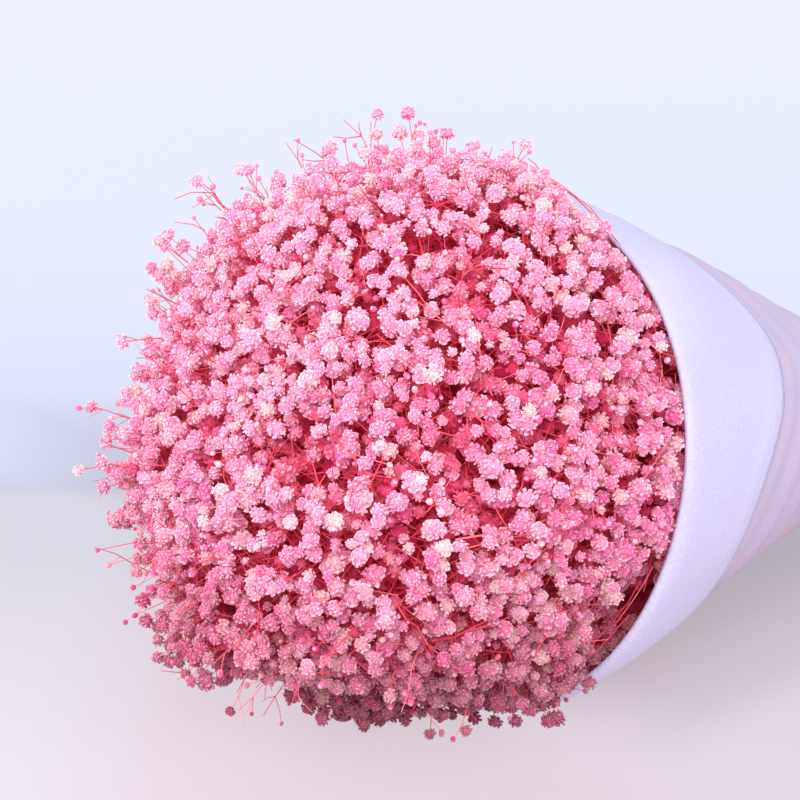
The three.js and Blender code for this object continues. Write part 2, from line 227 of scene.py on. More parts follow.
def taken_down(piece):
    """A master shape's vertices and triangles, once its object has served."""
    mesh = bmesh.new()
    mesh.from_mesh(piece.data)
    bmesh.ops.triangulate(mesh, faces=mesh.faces)
    bmesh.ops.recalc_face_normals(mesh, faces=mesh.faces)
    mesh.verts.index_update()
    points = np.array([vertex.co[:] for vertex in mesh.verts])
    faces = np.array([[vertex.index for vertex in face.verts] for face in mesh.faces])
    mesh.free()
    bpy.data.objects.remove(piece, do_unlink=True)
    size = np.linalg.norm(points, axis=1)
    tips = np.clip((size - size.min()) / max(1e-9, size.max() - size.min()), 0, 1)
    return points, faces, tips


def petal():
    """One petal: a thin fan that widens from a point at the origin to its outer edge."""
    deselect_all()
    bpy.ops.mesh.primitive_cone_add(vertices=3, radius1=0.165, depth=0.5)
    piece = bpy.context.active_object
    bpy.ops.object.mode_set(mode="EDIT")
    bpy.ops.mesh.select_all(action="SELECT")
    bpy.ops.transform.resize(value=(1, 0.42, -1))
    bpy.ops.transform.translate(value=(0, 0, 0.25))
    vertices_chosen(piece, lambda co: co.z > 0.4 and abs(co.x) < 0.02)
    bpy.ops.transform.translate(value=(0, 0, 0.05))
    bpy.ops.object.mode_set(mode="OBJECT")
    return piece


def blossom(seed, petals, flatness, heart):
    """A double blossom: many petals set all round a small ball, each turned its own way."""
    rng = random.Random(seed)
    pattern = petal()
    deselect_all()
    bpy.ops.mesh.primitive_ico_sphere_add(subdivisions=1, radius=heart)
    ball = bpy.context.active_object
    for direction in even_directions(petals, rng, 0.12):
        copy = pattern.copy()
        copy.data = pattern.data.copy()
        bpy.context.scene.collection.objects.link(copy)
        turn = direction.to_track_quat("Z", "Y").to_matrix().to_4x4()
        roll = Matrix.Rotation(rng.uniform(0, math.pi), 4, "Z")
        length = rng.uniform(0.88, 1.06)
        size = Matrix.Diagonal((rng.uniform(0.8, 1.2), rng.uniform(0.8, 1.3), length, 1))
        copy.data.transform(turn @ roll @ size)
        copy.select_set(True)
    ball.select_set(True)
    bpy.context.view_layer.objects.active = ball
    bpy.ops.object.join()
    bpy.data.objects.remove(pattern, do_unlink=True)
    bpy.ops.object.mode_set(mode="EDIT")
    bpy.ops.mesh.select_all(action="SELECT")
    bpy.ops.transform.resize(value=(1, 1, flatness))
    bpy.ops.mesh.normals_make_consistent(inside=False)
    bpy.ops.object.mode_set(mode="OBJECT")
    return taken_down(ball)


def bud():
    """A closed bud, a small ball drawn out a little at its tip."""
    deselect_all()
    bpy.ops.mesh.primitive_uv_sphere_add(segments=6, ring_count=4, radius=0.5)
    piece = bpy.context.active_object
    bpy.ops.object.mode_set(mode="EDIT")
    vertices_chosen(piece, lambda co: co.z > 0.2)
    bpy.ops.transform.translate(value=(0, 0, 0.12))
    bpy.ops.object.mode_set(mode="OBJECT")
    return taken_down(piece)


class Heap:
    """Many copies of master shapes, gathered into one mesh with a tint for each copy."""

    def __init__(self):
        self.points = []
        self.faces = []
        self.tints = []
        self.count = 0

    def add(self, master, place, turn, size, tint):
        points, faces, tips = master
        spun = (points * np.array(size)) @ np.array(turn.to_matrix()).T
        self.points.append(spun + np.array(place))
        self.faces.append(faces + self.count)
        colour = np.empty((len(points), 4))
        colour[:, 0] = tips
        colour[:, 1:] = tint
        self.tints.append(colour)
        self.count += len(points)

    def add_rod(self, path, radii, tint, sides=3):
        """A twig along a few points, closed to a tip at both ends."""
        rings = []
        for i, point in enumerate(path):
            ahead = path[min(i + 1, len(path) - 1)] - path[max(i - 1, 0)]
            turn = ahead.to_track_quat("Z", "Y").to_matrix()
            for side in range(sides):
                angle = 2 * math.pi * side / sides
                outward = Vector((math.cos(angle), math.sin(angle), 0))
                rings.append(point + turn @ outward * radii[i])
        faces = []
        last = (len(path) - 1) * sides
        for i in range(len(path) - 1):
            for side in range(sides):
                a = i * sides + side
                b = i * sides + (side + 1) % sides
                faces.append((a, b, b + sides))
                faces.append((a, b + sides, a + sides))
        for side in range(1, sides - 1):
            faces.append((0, side + 1, side))
            faces.append((last, last + side, last + side + 1))
        self.points.append(np.array([point[:] for point in rings]))
        self.faces.append(np.array(faces) + self.count)
        colour = np.empty((len(rings), 4))
        colour[:, 0] = np.repeat(np.linspace(0, 1, len(path)), sides)
        colour[:, 1:] = tint
        self.tints.append(colour)
        self.count += len(rings)

    def piece(self, name, material):
        """The heap as one object, laid down in the frame."""
        points = np.concatenate(self.points)
        points = points @ np.array(LAY.to_3x3()).T + np.array(LAY.translation)
        mesh = bpy.data.meshes.new(name)
        mesh.from_pydata(points.tolist(), [], np.concatenate(self.faces).tolist())
        tint = mesh.attributes.new("tint", "FLOAT_COLOR", "POINT")
        tint.data.foreach_set("color", np.concatenate(self.tints).ravel())
        mesh.materials.append(material)
        return linked(name, mesh)


# Materials


def tone(shade):
    """A shade as the nodes take it: from a grey, a setting's colour or a screen colour."""
    if isinstance(shade, float):
        return (shade, shade, shade, 1.0)
    return (*shade, 1.0) if isinstance(shade, Color) else linear(*shade)


class Paints:
    """Short ways to add and join the nodes of one material."""

    def __init__(self, name):
        self.material = bpy.data.materials.new(name)
        self.material.use_nodes = True
        self.material.cycles.emission_sampling = "NONE"
        self.tree = self.material.node_tree
        self.tree.nodes.clear()
        self.out = self.tree.nodes.new("ShaderNodeOutputMaterial")
        self.place = self.tree.nodes.new("ShaderNodeTexCoord").outputs["Object"]

    def join(self, socket, value):
        """Gives a socket what another node puts out, or a plain value."""
        if isinstance(value, bpy.types.NodeSocket):
            self.tree.links.new(value, socket)
        else:
            socket.default_value = value

    def node(self, kind, **inputs):
        node = self.tree.nodes.new(f"ShaderNode{kind}")
        for name, value in inputs.items():
            self.join(node.inputs[name.replace("_", " ")], value)
        return node

    def attribute(self, name):
        node = self.node("Attribute")
        node.attribute_name = name
        return node.outputs

    def tint(self):
        """The tint of each copy: its tip, its warmth, its cream and its depth."""
        tint = self.attribute("tint")
        parts = self.node("SeparateColor", Color=tint["Color"])
        return (*parts.outputs, tint["Alpha"])

    def axis(self, name, place=None):
        return self.node("SeparateXYZ", Vector=place or self.place).outputs[name]

    def noise(self, scale, detail=2.0, stretch=None):
        place = self.place
        if stretch:
            place = self.node("Mapping", Vector=place, Scale=stretch).outputs["Vector"]
        return self.node("TexNoise", Vector=place, Scale=scale, Detail=detail).outputs["Fac"]

    def cells(self, scale, feature="F1"):
        node = self.node("TexVoronoi", Vector=self.place, Scale=scale)
        node.feature = feature
        return node.outputs["Distance"]

    def ramp(self, value, *stops):
        node = self.node("ValToRGB", Fac=value)
        elements = node.color_ramp.elements
        while len(elements) < len(stops):
            elements.new(1.0)
        for element, (place, shade) in zip(elements, stops):
            element.position = place
            element.color = tone(shade)
        return node.outputs["Color"]

    def ramp_in_metres(self, metres, *stops):
        """A ramp along a length, with its stops in metres."""
        first, last = stops[0][0], stops[-1][0]
        share = self.reckon("DIVIDE", self.reckon("SUBTRACT", metres, first), last - first)
        return self.ramp(share, *(((at - first) / (last - first), shade) for at, shade in stops))

    def mix(self, share, first, second, kind="MIX"):
        node = self.node("Mix")
        node.data_type = "RGBA"
        node.blend_type = kind
        self.join(node.inputs["Factor"], share)
        for socket, shade in ((node.inputs[6], first), (node.inputs[7], second)):
            self.join(socket, shade if isinstance(shade, bpy.types.NodeSocket) else tone(shade))
        return node.outputs[2]

    def multiplied(self, *shades):
        product = shades[0]
        for shade in shades[1:]:
            product = self.mix(1.0, product, shade, "MULTIPLY")
        return product

    def reckon(self, kind, first, second):
        node = self.node("Math")
        node.operation = kind
        self.join(node.inputs[0], first)
        self.join(node.inputs[1], second)
        return node.outputs[0]

    def times(self, first, second):
        return self.reckon("MULTIPLY", first, second)

    def plus(self, first, second):
        return self.reckon("ADD", first, second)

    def bump(self, height, strength, distance):
        node = self.node("Bump", Height=height, Strength=strength, Distance=distance)
        return node.outputs["Normal"]

    def surface(self, **inputs):
        return self.node("BsdfPrincipled", **inputs).outputs[0]

    def see_through(self, surface, colour, share):
        """Lets a share of the light through, as thin petals and paper do."""
        through = self.node("BsdfTranslucent", Color=colour)
        blend = self.node("MixShader", Fac=share)
        self.join(blend.inputs[1], surface)
        self.join(blend.inputs[2], through.outputs[0])
        return blend.outputs[0]

    def finish(self, surface):
        self.tree.links.new(surface, self.out.inputs["Surface"])
        return self.material


PETAL_FRILL_SCALE = 900.0
PETAL_SEE_THROUGH = 0.36
PAPER_SEE_THROUGH = 0.3
# Painted light: colours of the red glow that petals, twigs and tangle give off, standing in for
# light scattered inside the head, and the share of it below the blossoms.
PAINTED_GLOW_IN_PETALS = (255, 100, 150)
PAINTED_GLOW_BELOW = (255, 40, 70)
PAINTED_GLOW_SHARE_BELOW = 0.16


def blossom_material(settings):
    """Pale frills, with painted shade: rosy hollows between petals, redder below the surface and
    darker near the table; a faint red glow is painted light.
    """
    paints = Paints("dried petals")
    tip, warmth, cream, depth = paints.tint()
    frill = paints.cells(PETAL_FRILL_SCALE, "DISTANCE_TO_EDGE")
    frilled = paints.ramp(frill, (0.03, 0.0), (0.2, 1.0))
    pink = paints.ramp(
        warmth,
        (0.0, settings.hot_pink),
        (0.3, settings.petal_pink),
        (0.75, settings.pale_pink),
        (1.0, (247, 248, 253)),
    )
    shade = paints.mix(cream, pink, settings.cream)
    # Painted shade: the hollows near each blossom's heart are a deeper rose, for the shade and red
    # light between the petals; the tips stay pale.
    rosy = paints.ramp(warmth, (0.2, (230, 92, 158)), (1.0, (240, 156, 200)))
    hollow_shade = paints.mix(cream, rosy, (240, 208, 206))
    reach = paints.ramp(tip, (0.54, 0.0), (0.86, 1.0))
    colour = paints.mix(paints.times(reach, paints.plus(0.2, frilled)), hollow_shade, shade)
    # Painted shade: blossoms sunk below the head's surface are redder and darker.
    sunk = paints.ramp(
        depth, (0.0, 1.0), (0.3, (252, 214, 229)), (0.65, (242, 128, 160)), (1.0, (226, 70, 106))
    )
    height = paints.axis("Z")
    # Painted shade: blossoms low down near the table are darker.
    shade_near_table = paints.ramp_in_metres(
        height, (0.0125, (192, 148, 150)), (0.07, (238, 212, 212)), (0.125, 1.0)
    )
    deep = paints.multiplied(colour, sunk, shade_near_table)
    # Painted light: the blossoms give off a faint red glow, stronger higher up.
    inner = paints.ramp_in_metres(height, (0.025, 0.0), (0.15, 0.8))
    surface = paints.surface(
        Base_Color=deep,
        Roughness=0.85,
        Specular_IOR_Level=0.15,
        Normal=paints.bump(frill, 0.8, 0.0005),
        Emission_Color=linear(*PAINTED_GLOW_IN_PETALS),
        Emission_Strength=paints.times(inner, settings.painted_inner_glow),
    )
    glow = paints.mix(0.5, deep, (255, 140, 200))
    return paints.finish(paints.see_through(surface, glow, PETAL_SEE_THROUGH))


def twig_material(settings):
    paints = Paints("dyed twigs")
    along, warmth, _, depth = paints.tint()
    colour = paints.ramp(
        paints.plus(warmth, paints.times(paints.noise(260.0), 0.3)),
        (0.1, (186, 28, 54)),
        (0.65, settings.twig_red),
        (1.0, (222, 104, 112)),
    )
    tipped = paints.mix(paints.times(along, 0.25), colour, (232, 120, 150))
    # Painted shade: twigs deeper in the head take a deeper red.
    surface = paints.surface(
        Base_Color=paints.mix(paints.times(depth, 0.6), tipped, (204, 36, 66)),
        Roughness=0.6,
        Specular_IOR_Level=0.35,
        Normal=paints.bump(paints.noise(900.0), 0.3, 0.0003),
        # Painted light: a faint red glow, standing in for light scattered inside the head.
        Emission_Color=linear(*PAINTED_GLOW_BELOW),
        Emission_Strength=settings.painted_inner_glow * PAINTED_GLOW_SHARE_BELOW,
    )
    return paints.finish(surface)


def tangle_material(settings):
    paints = Paints("tangle of inner twigs")
    threads = paints.noise(240.0, 4.0, (0.35, 1.0, 1.0))
    crumbs = paints.cells(260.0)
    colour = paints.ramp(
        paints.mix(0.5, threads, crumbs),
        (0.25, (122, 10, 28)),
        (0.45, (196, 34, 66)),
        (0.65, (232, 92, 132)),
    )
    surface = paints.surface(
        Base_Color=colour,
        Roughness=0.9,
        Specular_IOR_Level=0.1,
        Normal=paints.bump(crumbs, 1.0, 0.003),
        # Painted light: a faint red glow, standing in for light scattered inside the head.
        Emission_Color=linear(*PAINTED_GLOW_BELOW),
        Emission_Strength=settings.painted_inner_glow * PAINTED_GLOW_SHARE_BELOW,
    )
    return paints.finish(surface)


def stem_material(settings):
    paints = Paints("dyed stems")
    streaks = paints.noise(90.0, 3.0, (0.06, 1.0, 1.0))
    colour = paints.ramp(
        streaks, (0.3, (132, 40, 52)), (0.55, settings.stem_red), (0.75, (196, 128, 112))
    )
    surface = paints.surface(
        Base_Color=colour,
        Roughness=0.55,
        Specular_IOR_Level=0.4,
        Normal=paints.bump(streaks, 0.35, 0.0006),
    )
    return paints.finish(surface)


def paper_material(settings):
    """Felted white paper, crimson on the mouth's inside, with painted shade and light: darker and
    pinker where single, glowing a little low down.
    """
    paints = Paints("nonwoven paper")
    fibres = paints.noise(1100.0, 4.0)
    felt = paints.ramp(paints.noise(620.0, 3.0), (0.38, 0.0), (0.62, 1.0))
    blots = paints.noise(38.0)
    # Painted shade and light: where the paper lies single it is a darker lavender with pink blots,
    # standing in for the dim, pink-lit inside showing through.
    single = paints.ramp(
        blots, (0.35, settings.single_paper), (0.62, (207, 186, 212)), (0.85, (210, 174, 200))
    )
    plain = paints.mix(paints.attribute("doubled")["Fac"], single, settings.doubled_paper)
    felted = paints.mix(paints.times(felt, 0.3), plain, (200, 192, 226))
    # The paper's inside is coloured crimson from the mouth inwards, fading out deep in the cone.
    dyed = paints.ramp(blots, (0.3, (150, 24, 52)), (0.7, (208, 70, 110)))
    colour = paints.mix(paints.attribute("stained")["Fac"], felted, dyed)
    height = paints.axis("Z")
    top = paints.ramp_in_metres(height, (0.15, 1.0), (0.25, (248, 250, 254)))
    colour = paints.multiplied(colour, top)
    surface = paints.surface(
        Base_Color=colour,
        Roughness=0.8,
        Sheen_Weight=0.2,
        Sheen_Roughness=0.6,
        Specular_IOR_Level=0.25,
        Normal=paints.bump(paints.plus(fibres, paints.times(felt, 1.4)), 0.35, 0.0006),
        # Painted light: the paper glows a little, warm, low down, standing in for light bounced up
        # from the floor.
        Emission_Color=paints.multiplied(colour, (255, 243, 205)),
        Emission_Strength=paints.ramp_in_metres(height, (0.05, 0.17), (0.1875, 0.0)),
    )
    return paints.finish(paints.see_through(surface, colour, PAPER_SEE_THROUGH))


def cord_material():
    paints = Paints("straw cord")
    fibres = paints.noise(700.0, 4.0, (1.0, 0.4, 0.4))
    colour = paints.ramp(
        fibres, (0.3, (164, 132, 92)), (0.55, (205, 183, 147)), (0.8, (228, 211, 180))
    )
    surface = paints.surface(
        Base_Color=colour,
        Roughness=0.8,
        Sheen_Weight=0.2,
        Normal=paints.bump(fibres, 0.6, 0.0006),
    )
    return paints.finish(surface)


# On the floor, in metres: where the table turns into the backdrop, and the middle of the spot
# under the head where the floor is painted lighter, softening the shade there.
TABLE_END = (0.2275, 0.2431)
BACKDROP_START = 0.232
HEAD_SHADE = (0.0, -0.03, 0.0)


def floor_material(settings):
    """Pale white turning pale blue behind, bright in itself, with painted light and shade: the
    bunch's pink reflection, the sleeve's shadow, a lighter spot under the head.
    """
    paints = Paints("pale floor")
    back = (0, 0, -settings.azimuth)
    turned = paints.node("Mapping", Vector=paints.place, Rotation=back).outputs["Vector"]
    away = paints.axis("Y", turned)
    # Painted reflection: pinker in the middle in front of the bunch, as the bunch's pink reflected
    # in the floor, and neutral to the sides.
    front = paints.ramp_in_metres(
        paints.axis("X", turned),
        (-0.19, (234, 228, 240)),
        (-0.13, (234, 221, 232)),
        (-0.05, settings.floor_with_pink_reflection),
        (0.05, (231, 215, 226)),
        (0.15, (229, 219, 232)),
    )
    # Painted shade: the table darkens a little towards its back edge.
    distance = paints.ramp_in_metres(
        away,
        (-0.08, 1.0),
        (0.04, (248, 248, 248)),
        (0.14, (237, 241, 241)),
        (0.22, (237, 240, 241)),
    )
    # Painted shade: the pale blue backdrop is darkest at its foot and lighter higher up.
    wall = paints.ramp_in_metres(
        away,
        (BACKDROP_START, (205, 210, 231)),
        (0.304, (212, 217, 240)),
        (0.400, (218, 224, 246)),
        (0.632, (226, 232, 255)),
        (0.968, (231, 238, 255)),
        (2.240, (234, 240, 255)),
    )
    behind = paints.ramp_in_metres(away, (TABLE_END[0], 0.0), (TABLE_END[1], 1.0))
    pale = paints.mix(behind, paints.multiplied(front, distance), wall)
    # Painted shadow: a soft band of shade on the floor beside the sleeve, on the camera's side.
    painted_sleeve_shadow = paints.ramp_in_metres(
        paints.axis("Y"),
        (-0.13, 1.0),
        (-0.105, (243, 242, 242)),
        (-0.085, (241, 239, 239)),
        (-0.05, (231, 229, 228)),
    )
    sleeve_shadow_mask = paints.ramp_in_metres(paints.axis("X"), (0.0, 0.0), (0.07, 1.0))
    shade = paints.mix(sleeve_shadow_mask, 1.0, painted_sleeve_shadow)
    middle = paints.node("VectorMath")
    middle.operation = "DISTANCE"
    paints.join(middle.inputs[0], paints.place)
    paints.join(middle.inputs[1], HEAD_SHADE)
    from_head = middle.outputs["Value"]
    # Painted light: near the head the floor is tinted a little and glows more, softening the shade
    # under it.
    painted_tint_under_head = paints.ramp(from_head, (0.02, (248, 251, 250)), (0.06, (252, 253, 253)), (0.12, 1.0))
    colour = paints.multiplied(pale, shade, painted_tint_under_head)
    # Painted light: the backdrop glows more strongly the further back it lies.
    lift = paints.ramp_in_metres(away, (BACKDROP_START, 0.0), (0.42, 1.0))
    painted_backdrop_glow = paints.plus(paints.times(lift, 0.37), 0.885)
    painted_light_under_head = paints.ramp(from_head, (0.02, 0.16), (0.07, 0.07), (0.14, 0.0))
    lit = paints.plus(paints.mix(behind, 0.94, painted_backdrop_glow), painted_light_under_head)
    surface = paints.surface(
        Base_Color=paints.multiplied(colour, settings.floor_share),
        Roughness=0.45,
        Specular_IOR_Level=0.1,
        Emission_Color=colour,
        Emission_Strength=paints.times(lit, settings.floor_glow),
    )
    return paints.finish(surface)


# Settings


def colour_setting(name, description, screen_colour):
    return FloatVectorProperty(
        name=name,
        description=description,
        default=linear(*screen_colour)[:3],
        size=3,
        min=0,
        max=1,
        subtype="COLOR",
    )


def count_setting(name, description, default, most):
    return IntProperty(name=name, description=description, default=default, min=0, max=most)


def length_setting(name, description, default, least, most):
    return FloatProperty(
        name=name, description=description, default=default, min=least, max=most, unit="LENGTH"
    )


def share_setting(name, description, default):
    return FloatProperty(
        name=name, description=description, default=default, min=0, max=1, subtype="FACTOR"
    )


def angle_setting(name, description, degrees):
    return FloatProperty(
        name=name, description=description, default=math.radians(degrees), unit="ROTATION"
    )


def power_setting(name, description, default):
    return FloatProperty(
        name=name, description=description, default=default, min=0, unit="POWER"
    )


class BunchFlowerSettings(bpy.types.PropertyGroup):
    blossoms: count_setting("Blossoms", "Blossoms on the face of the head", 5300, 8000)
    inner_blossoms: count_setting("Inner blossoms", "Blossoms below the first layer", 2600, 5000)
    buds: count_setting("Buds", "Closed buds between the blossoms", 700, 4000)
    loose_blossoms: count_setting("Loose blossoms", "Blossoms proud of the dense head", 1500, 4000)
    sprigs: count_setting("Sprigs", "Stray twigs that stand out of the head", 120, 500)
    cross_twigs: count_setting("Cross twigs", "Stalks that run over the clumps", 900, 3000)
    inner_twigs: count_setting("Inner twigs", "Twigs that cross below the blossoms", 4600, 8000)
    blossom_size: length_setting(
        "Blossom size", "Width of a fully open blossom", 0.0074, 0.004, 0.012
    )
    bud_size: length_setting("Bud size", "Width of a closed bud", 0.0026, 0.001, 0.006)
    twig_radius: length_setting(
        "Twig radius", "Radius of the thinnest twigs", 0.00022, 0.0001, 0.001
    )
    # Painted light: strength of the red glow that petals, twigs and tangle give off.
    painted_inner_glow: share_setting("Inner light", "Red light that scatters in the head", 0.12)
    hot_pink: colour_setting("Hot pink", "Blossoms that took the most dye", (238, 186, 230))
    petal_pink: colour_setting("Petal pink", "Most blossoms", (238, 234, 252))
    pale_pink: colour_setting("Pale pink", "Blossoms that took little dye", (242, 243, 253))
    cream: colour_setting("Cream", "Blossoms that took no dye", (242, 248, 246))
    twig_red: colour_setting("Twig red", "Twigs", (206, 48, 74))


class BunchStemSettings(bpy.types.PropertyGroup):
    radius: length_setting("Stem radius", "Radius of a main stem", 0.0018, 0.001, 0.003)
    stem_red: colour_setting("Stem red", "Main stems", (164, 72, 78))


class BunchSleeveSettings(bpy.types.PropertyGroup):
    thickness: length_setting("Paper thickness", "Thickness of the paper", 0.0004, 0.0001, 0.001)
    collar_puff: length_setting(
        "Collar puff", "How far the collar stands off the cone", 0.0042, 0, 0.01
    )
    overlap: angle_setting("Overlap", "How far the sheet's side edges overlap", 32)
    doubled_paper: colour_setting(
        "Doubled paper", "Collar, where the paper lies double", (211, 206, 234)
    )
    # Painted shade: the single paper is darker than the doubled, for the dim inside showing
    # through.
    single_paper: colour_setting("Single paper", "Cone, where light passes", (196, 186, 220))


class BunchStageSettings(bpy.types.PropertyGroup):
    azimuth: angle_setting("Azimuth", "Camera's turn about the bunch", -44.0)
    elevation: angle_setting("Elevation", "Camera's height angle", 19.7)
    distance: length_setting("Distance", "Camera's distance from its target", 0.84, 0.3, 5)
    lens: FloatProperty(name="Lens", description="Focal length", default=85.5, unit="CAMERA")
    key_power: power_setting("Key light", "Power of the main light", 28.0)
    fill_power: power_setting("Fill light", "Power of the fill light", 14.0)
    back_power: power_setting("Back light", "Power of the light from behind the head", 18.0)
    sky: share_setting("Sky", "Strength of the light all round", 0.95)
    floor_glow: share_setting("Floor glow", "Light that the floor gives off", 0.80)
    floor_share: share_setting(
        "Floor share", "Share of the lamps' light that the floor returns", 0.14
    )
    # Painted reflection: the floor in front of the bunch, pinked by the bunch's reflection.
    floor_with_pink_reflection: colour_setting("Floor", "Floor near the bunch", (233, 217, 227))


# Flower head

RIM_OPENINGS = (
    (math.radians(123), math.radians(5)),
    (math.radians(152), math.radians(6)),
    (math.radians(203), math.radians(10)),
)
OPENING_DEPTH = 0.020
HEAD_SHRUNK = 0.007
SURFACE_WAVE = 0.0060
SURFACE_CRUMB = 0.0030
PIT_DEPTH = 0.014
CREASE_DEPTH = 0.016
CREASE_WIDTH = 0.055
CREASES = (
    ((-0.63, -0.70, 0.32), (-0.62, -0.76, 0.20), (-0.59, -0.81, 0.01)),
    ((-0.74, -0.68, -0.05), (-0.70, -0.68, -0.22)),
    ((-0.99, -0.11, 0.03), (-0.94, -0.33, 0.07), (-0.86, -0.51, 0.07)),
    ((-0.56, -0.61, -0.56), (-0.50, -0.69, -0.53)),
    ((-0.40, -0.55, 0.74), (-0.52, -0.60, 0.60)),
)
HEAD_END = 0.020
PIT_WIDTH = 0.034
PITS = (
    (-0.91, -0.22, 0.36),
    (-0.94, -0.31, 0.13),
    (-0.93, -0.36, 0.02),
    (-0.86, -0.50, -0.02),
    (-0.96, -0.17, -0.23),
    (-0.75, -0.21, 0.63),
    (-0.67, -0.41, 0.62),
    (-0.63, -0.54, 0.56),
    (-0.75, -0.46, 0.48),
    (-0.42, -0.46, 0.78),
    (-0.60, -0.71, -0.37),
    (-0.65, -0.74, 0.17),
    (-0.17, -0.97, -0.18),
    (0.10, -0.97, -0.23),
)
# Where the blossoms fall short of the solids' form: direction, amount, width.
SHORTFALLS = (
    ((0.06, 0.10, 0.99), 0.018, 0.26),
    ((-0.22, 0.38, 0.90), 0.014, 0.28),
    ((-0.38, 0.49, 0.78), 0.008, 0.18),
    ((-0.53, 0.66, 0.53), 0.014, 0.17),
    ((-0.66, 0.75, 0.08), 0.010, 0.22),
    ((-0.71, 0.68, -0.15), 0.010, 0.18),
    ((-0.78, 0.37, -0.50), 0.006, 0.20),
    ((-0.70, 0.13, -0.71), -0.009, 0.15),
    ((-0.50, -0.04, -0.87), 0.009, 0.18),
    ((-0.60, -0.24, -0.76), 0.004, 0.24),
    ((-0.35, -0.45, -0.82), 0.009, 0.22),
    ((0.22, -0.68, -0.70), -0.010, 0.20),
)
# Where the head is loose and light comes through: its middle, and how wide it is.
PALE_SIDE = Vector((-0.5, 0.4, 0.76)).normalized()
AIRY_SIDE = ((-0.55, 0.68, 0.45), 0.55)
# Where the blossoms hang over the rim: angle round the mouth, half-width, how far.
OVERHANGS = (
    (math.radians(97), math.radians(16), 0.0055),
    (math.radians(227), math.radians(13), 0.0095),
)
# Long stalks that lie over the head, from one direction to another.
LONG_STALKS = (
    ((-0.57, -0.81, -0.09), (-0.12, -0.99, 0.08)),
    ((-0.54, -0.84, -0.05), (-0.01, -1.00, 0.09)),
    ((-0.49, -0.86, -0.12), (-0.21, -0.97, 0.08)),
    ((-0.39, -0.92, -0.06), (-0.12, -0.99, 0.01)),
    ((-0.34, -0.94, -0.09), (-0.32, -0.95, 0.04)),
    ((-0.39, -0.89, -0.23), (-0.33, -0.94, -0.06)),
    ((-0.59, -0.66, -0.46), (-0.16, -0.74, -0.65)),
    ((-0.67, -0.68, -0.31), (-0.52, -0.72, -0.47)),
    ((-0.52, -0.74, -0.42), (-0.36, -0.86, -0.36)),
    ((-0.73, -0.48, 0.49), (-0.66, -0.64, 0.39)),
    ((-0.78, -0.28, 0.56), (-0.67, -0.32, 0.66)),
    ((-0.89, -0.18, 0.41), (-0.95, -0.06, 0.30)),
    ((-0.96, -0.17, 0.21), (-0.91, -0.32, 0.26)),
    ((-0.89, -0.41, 0.18), (-0.83, -0.55, 0.11)),
    ((-0.59, -0.74, 0.32), (-0.52, -0.82, 0.24)),
    ((-0.51, -0.77, 0.39), (-0.53, -0.67, 0.51)),
    ((-0.31, -0.78, 0.54), (-0.37, -0.71, 0.60)),
    ((-0.06, -0.97, -0.25), (0.22, -0.91, -0.33)),
    ((-0.51, -0.36, 0.78), (-0.52, -0.47, 0.71)),
    ((-0.90, -0.43, -0.10), (-0.92, -0.28, -0.27)),
)
# Bare forking twigs that stand out at the top and the side, in millimetres.
STRAY_TWIGS = (
    ((-54, 30, 114), (-58, 33, 124), (-61, 35, 129), (-68, 41, 135)),
    ((-61, 35, 129), (-66, 40, 127), (-70, 43, 127)),
    ((-61, 35, 129), (-62, 36, 132), (-63, 36, 135)),
    ((-61, 38, 100), (-63, 39, 109), (-69, 44, 115), (-75, 48, 119), (-83, 54, 123)),
    ((-71, 45, 116), (-75, 48, 115), (-79, 51, 115)),
    ((-103, 70, 89), (-108, 73, 95), (-116, 78, 94), (-122, 82, 90)),
    ((-108, 73, 94), (-112, 76, 90), (-115, 78, 87)),
    ((-109, 74, 78), (-114, 77, 80), (-121, 81, 80)),
    ((-104, 70, 69), (-112, 75, 64), (-116, 77, 60)),
    ((-122, 75, 20), (-127, 79, 25), (-130, 82, 28)),
    ((-120, 76, 18), (-126, 78, 20), (-132, 81, 19)),
    ((-126, 48, -73), (-137, 57, -68), (-144, 62, -64), (-152, 67, -62)),
    ((-142, 61, -65), (-145, 61, -67), (-148, 62, -69)),
    ((1, -30, 120), (-6, -23, 126), (-12, -15, 130), (-18, -8, 133)),
    ((-6, -23, 126), (-8, -21, 129), (-10, -18, 131)),
    ((5, -36, 114), (-3, -26, 123), (-10, -17, 127)),
    ((-112, 26, -95), (-120, 28, -102), (-124, 27, -108), (-129, 27, -112)),
    ((-126, 27, -109), (-130, 30, -109), (-134, 33, -109)),
    ((-116, 26, -100), (-122, 29, -101), (-131, 35, -102)),
    ((-94, 6, -103), (-98, 6, -108), (-101, 7, -112)),
    ((-96, 7, -105), (-96, 5, -108), (-96, 2, -112)),
    ((-82, -4, -102), (-84, -4, -105), (-87, -4, -109)),
    ((-80, -5, -102), (-85, -3, -106), (-91, 0, -109)),
    ((-49, -37, -101), (-49, -40, -105), (-50, -41, -108), (-52, -42, -113)),
    ((-51, -36, -102), (-50, -39, -104), (-48, -41, -105)),
    ((-33, -53, -96), (-35, -53, -99), (-38, -53, -104)),
    ((-30, -58, -97), (-33, -57, -100), (-36, -56, -104)),
    ((-10, -83, -93), (-17, -78, -98), (-21, -75, -102), (-25, -72, -105)),
    ((-8, -85, -90), (-5, -90, -90), (-2, -95, -90)),
)
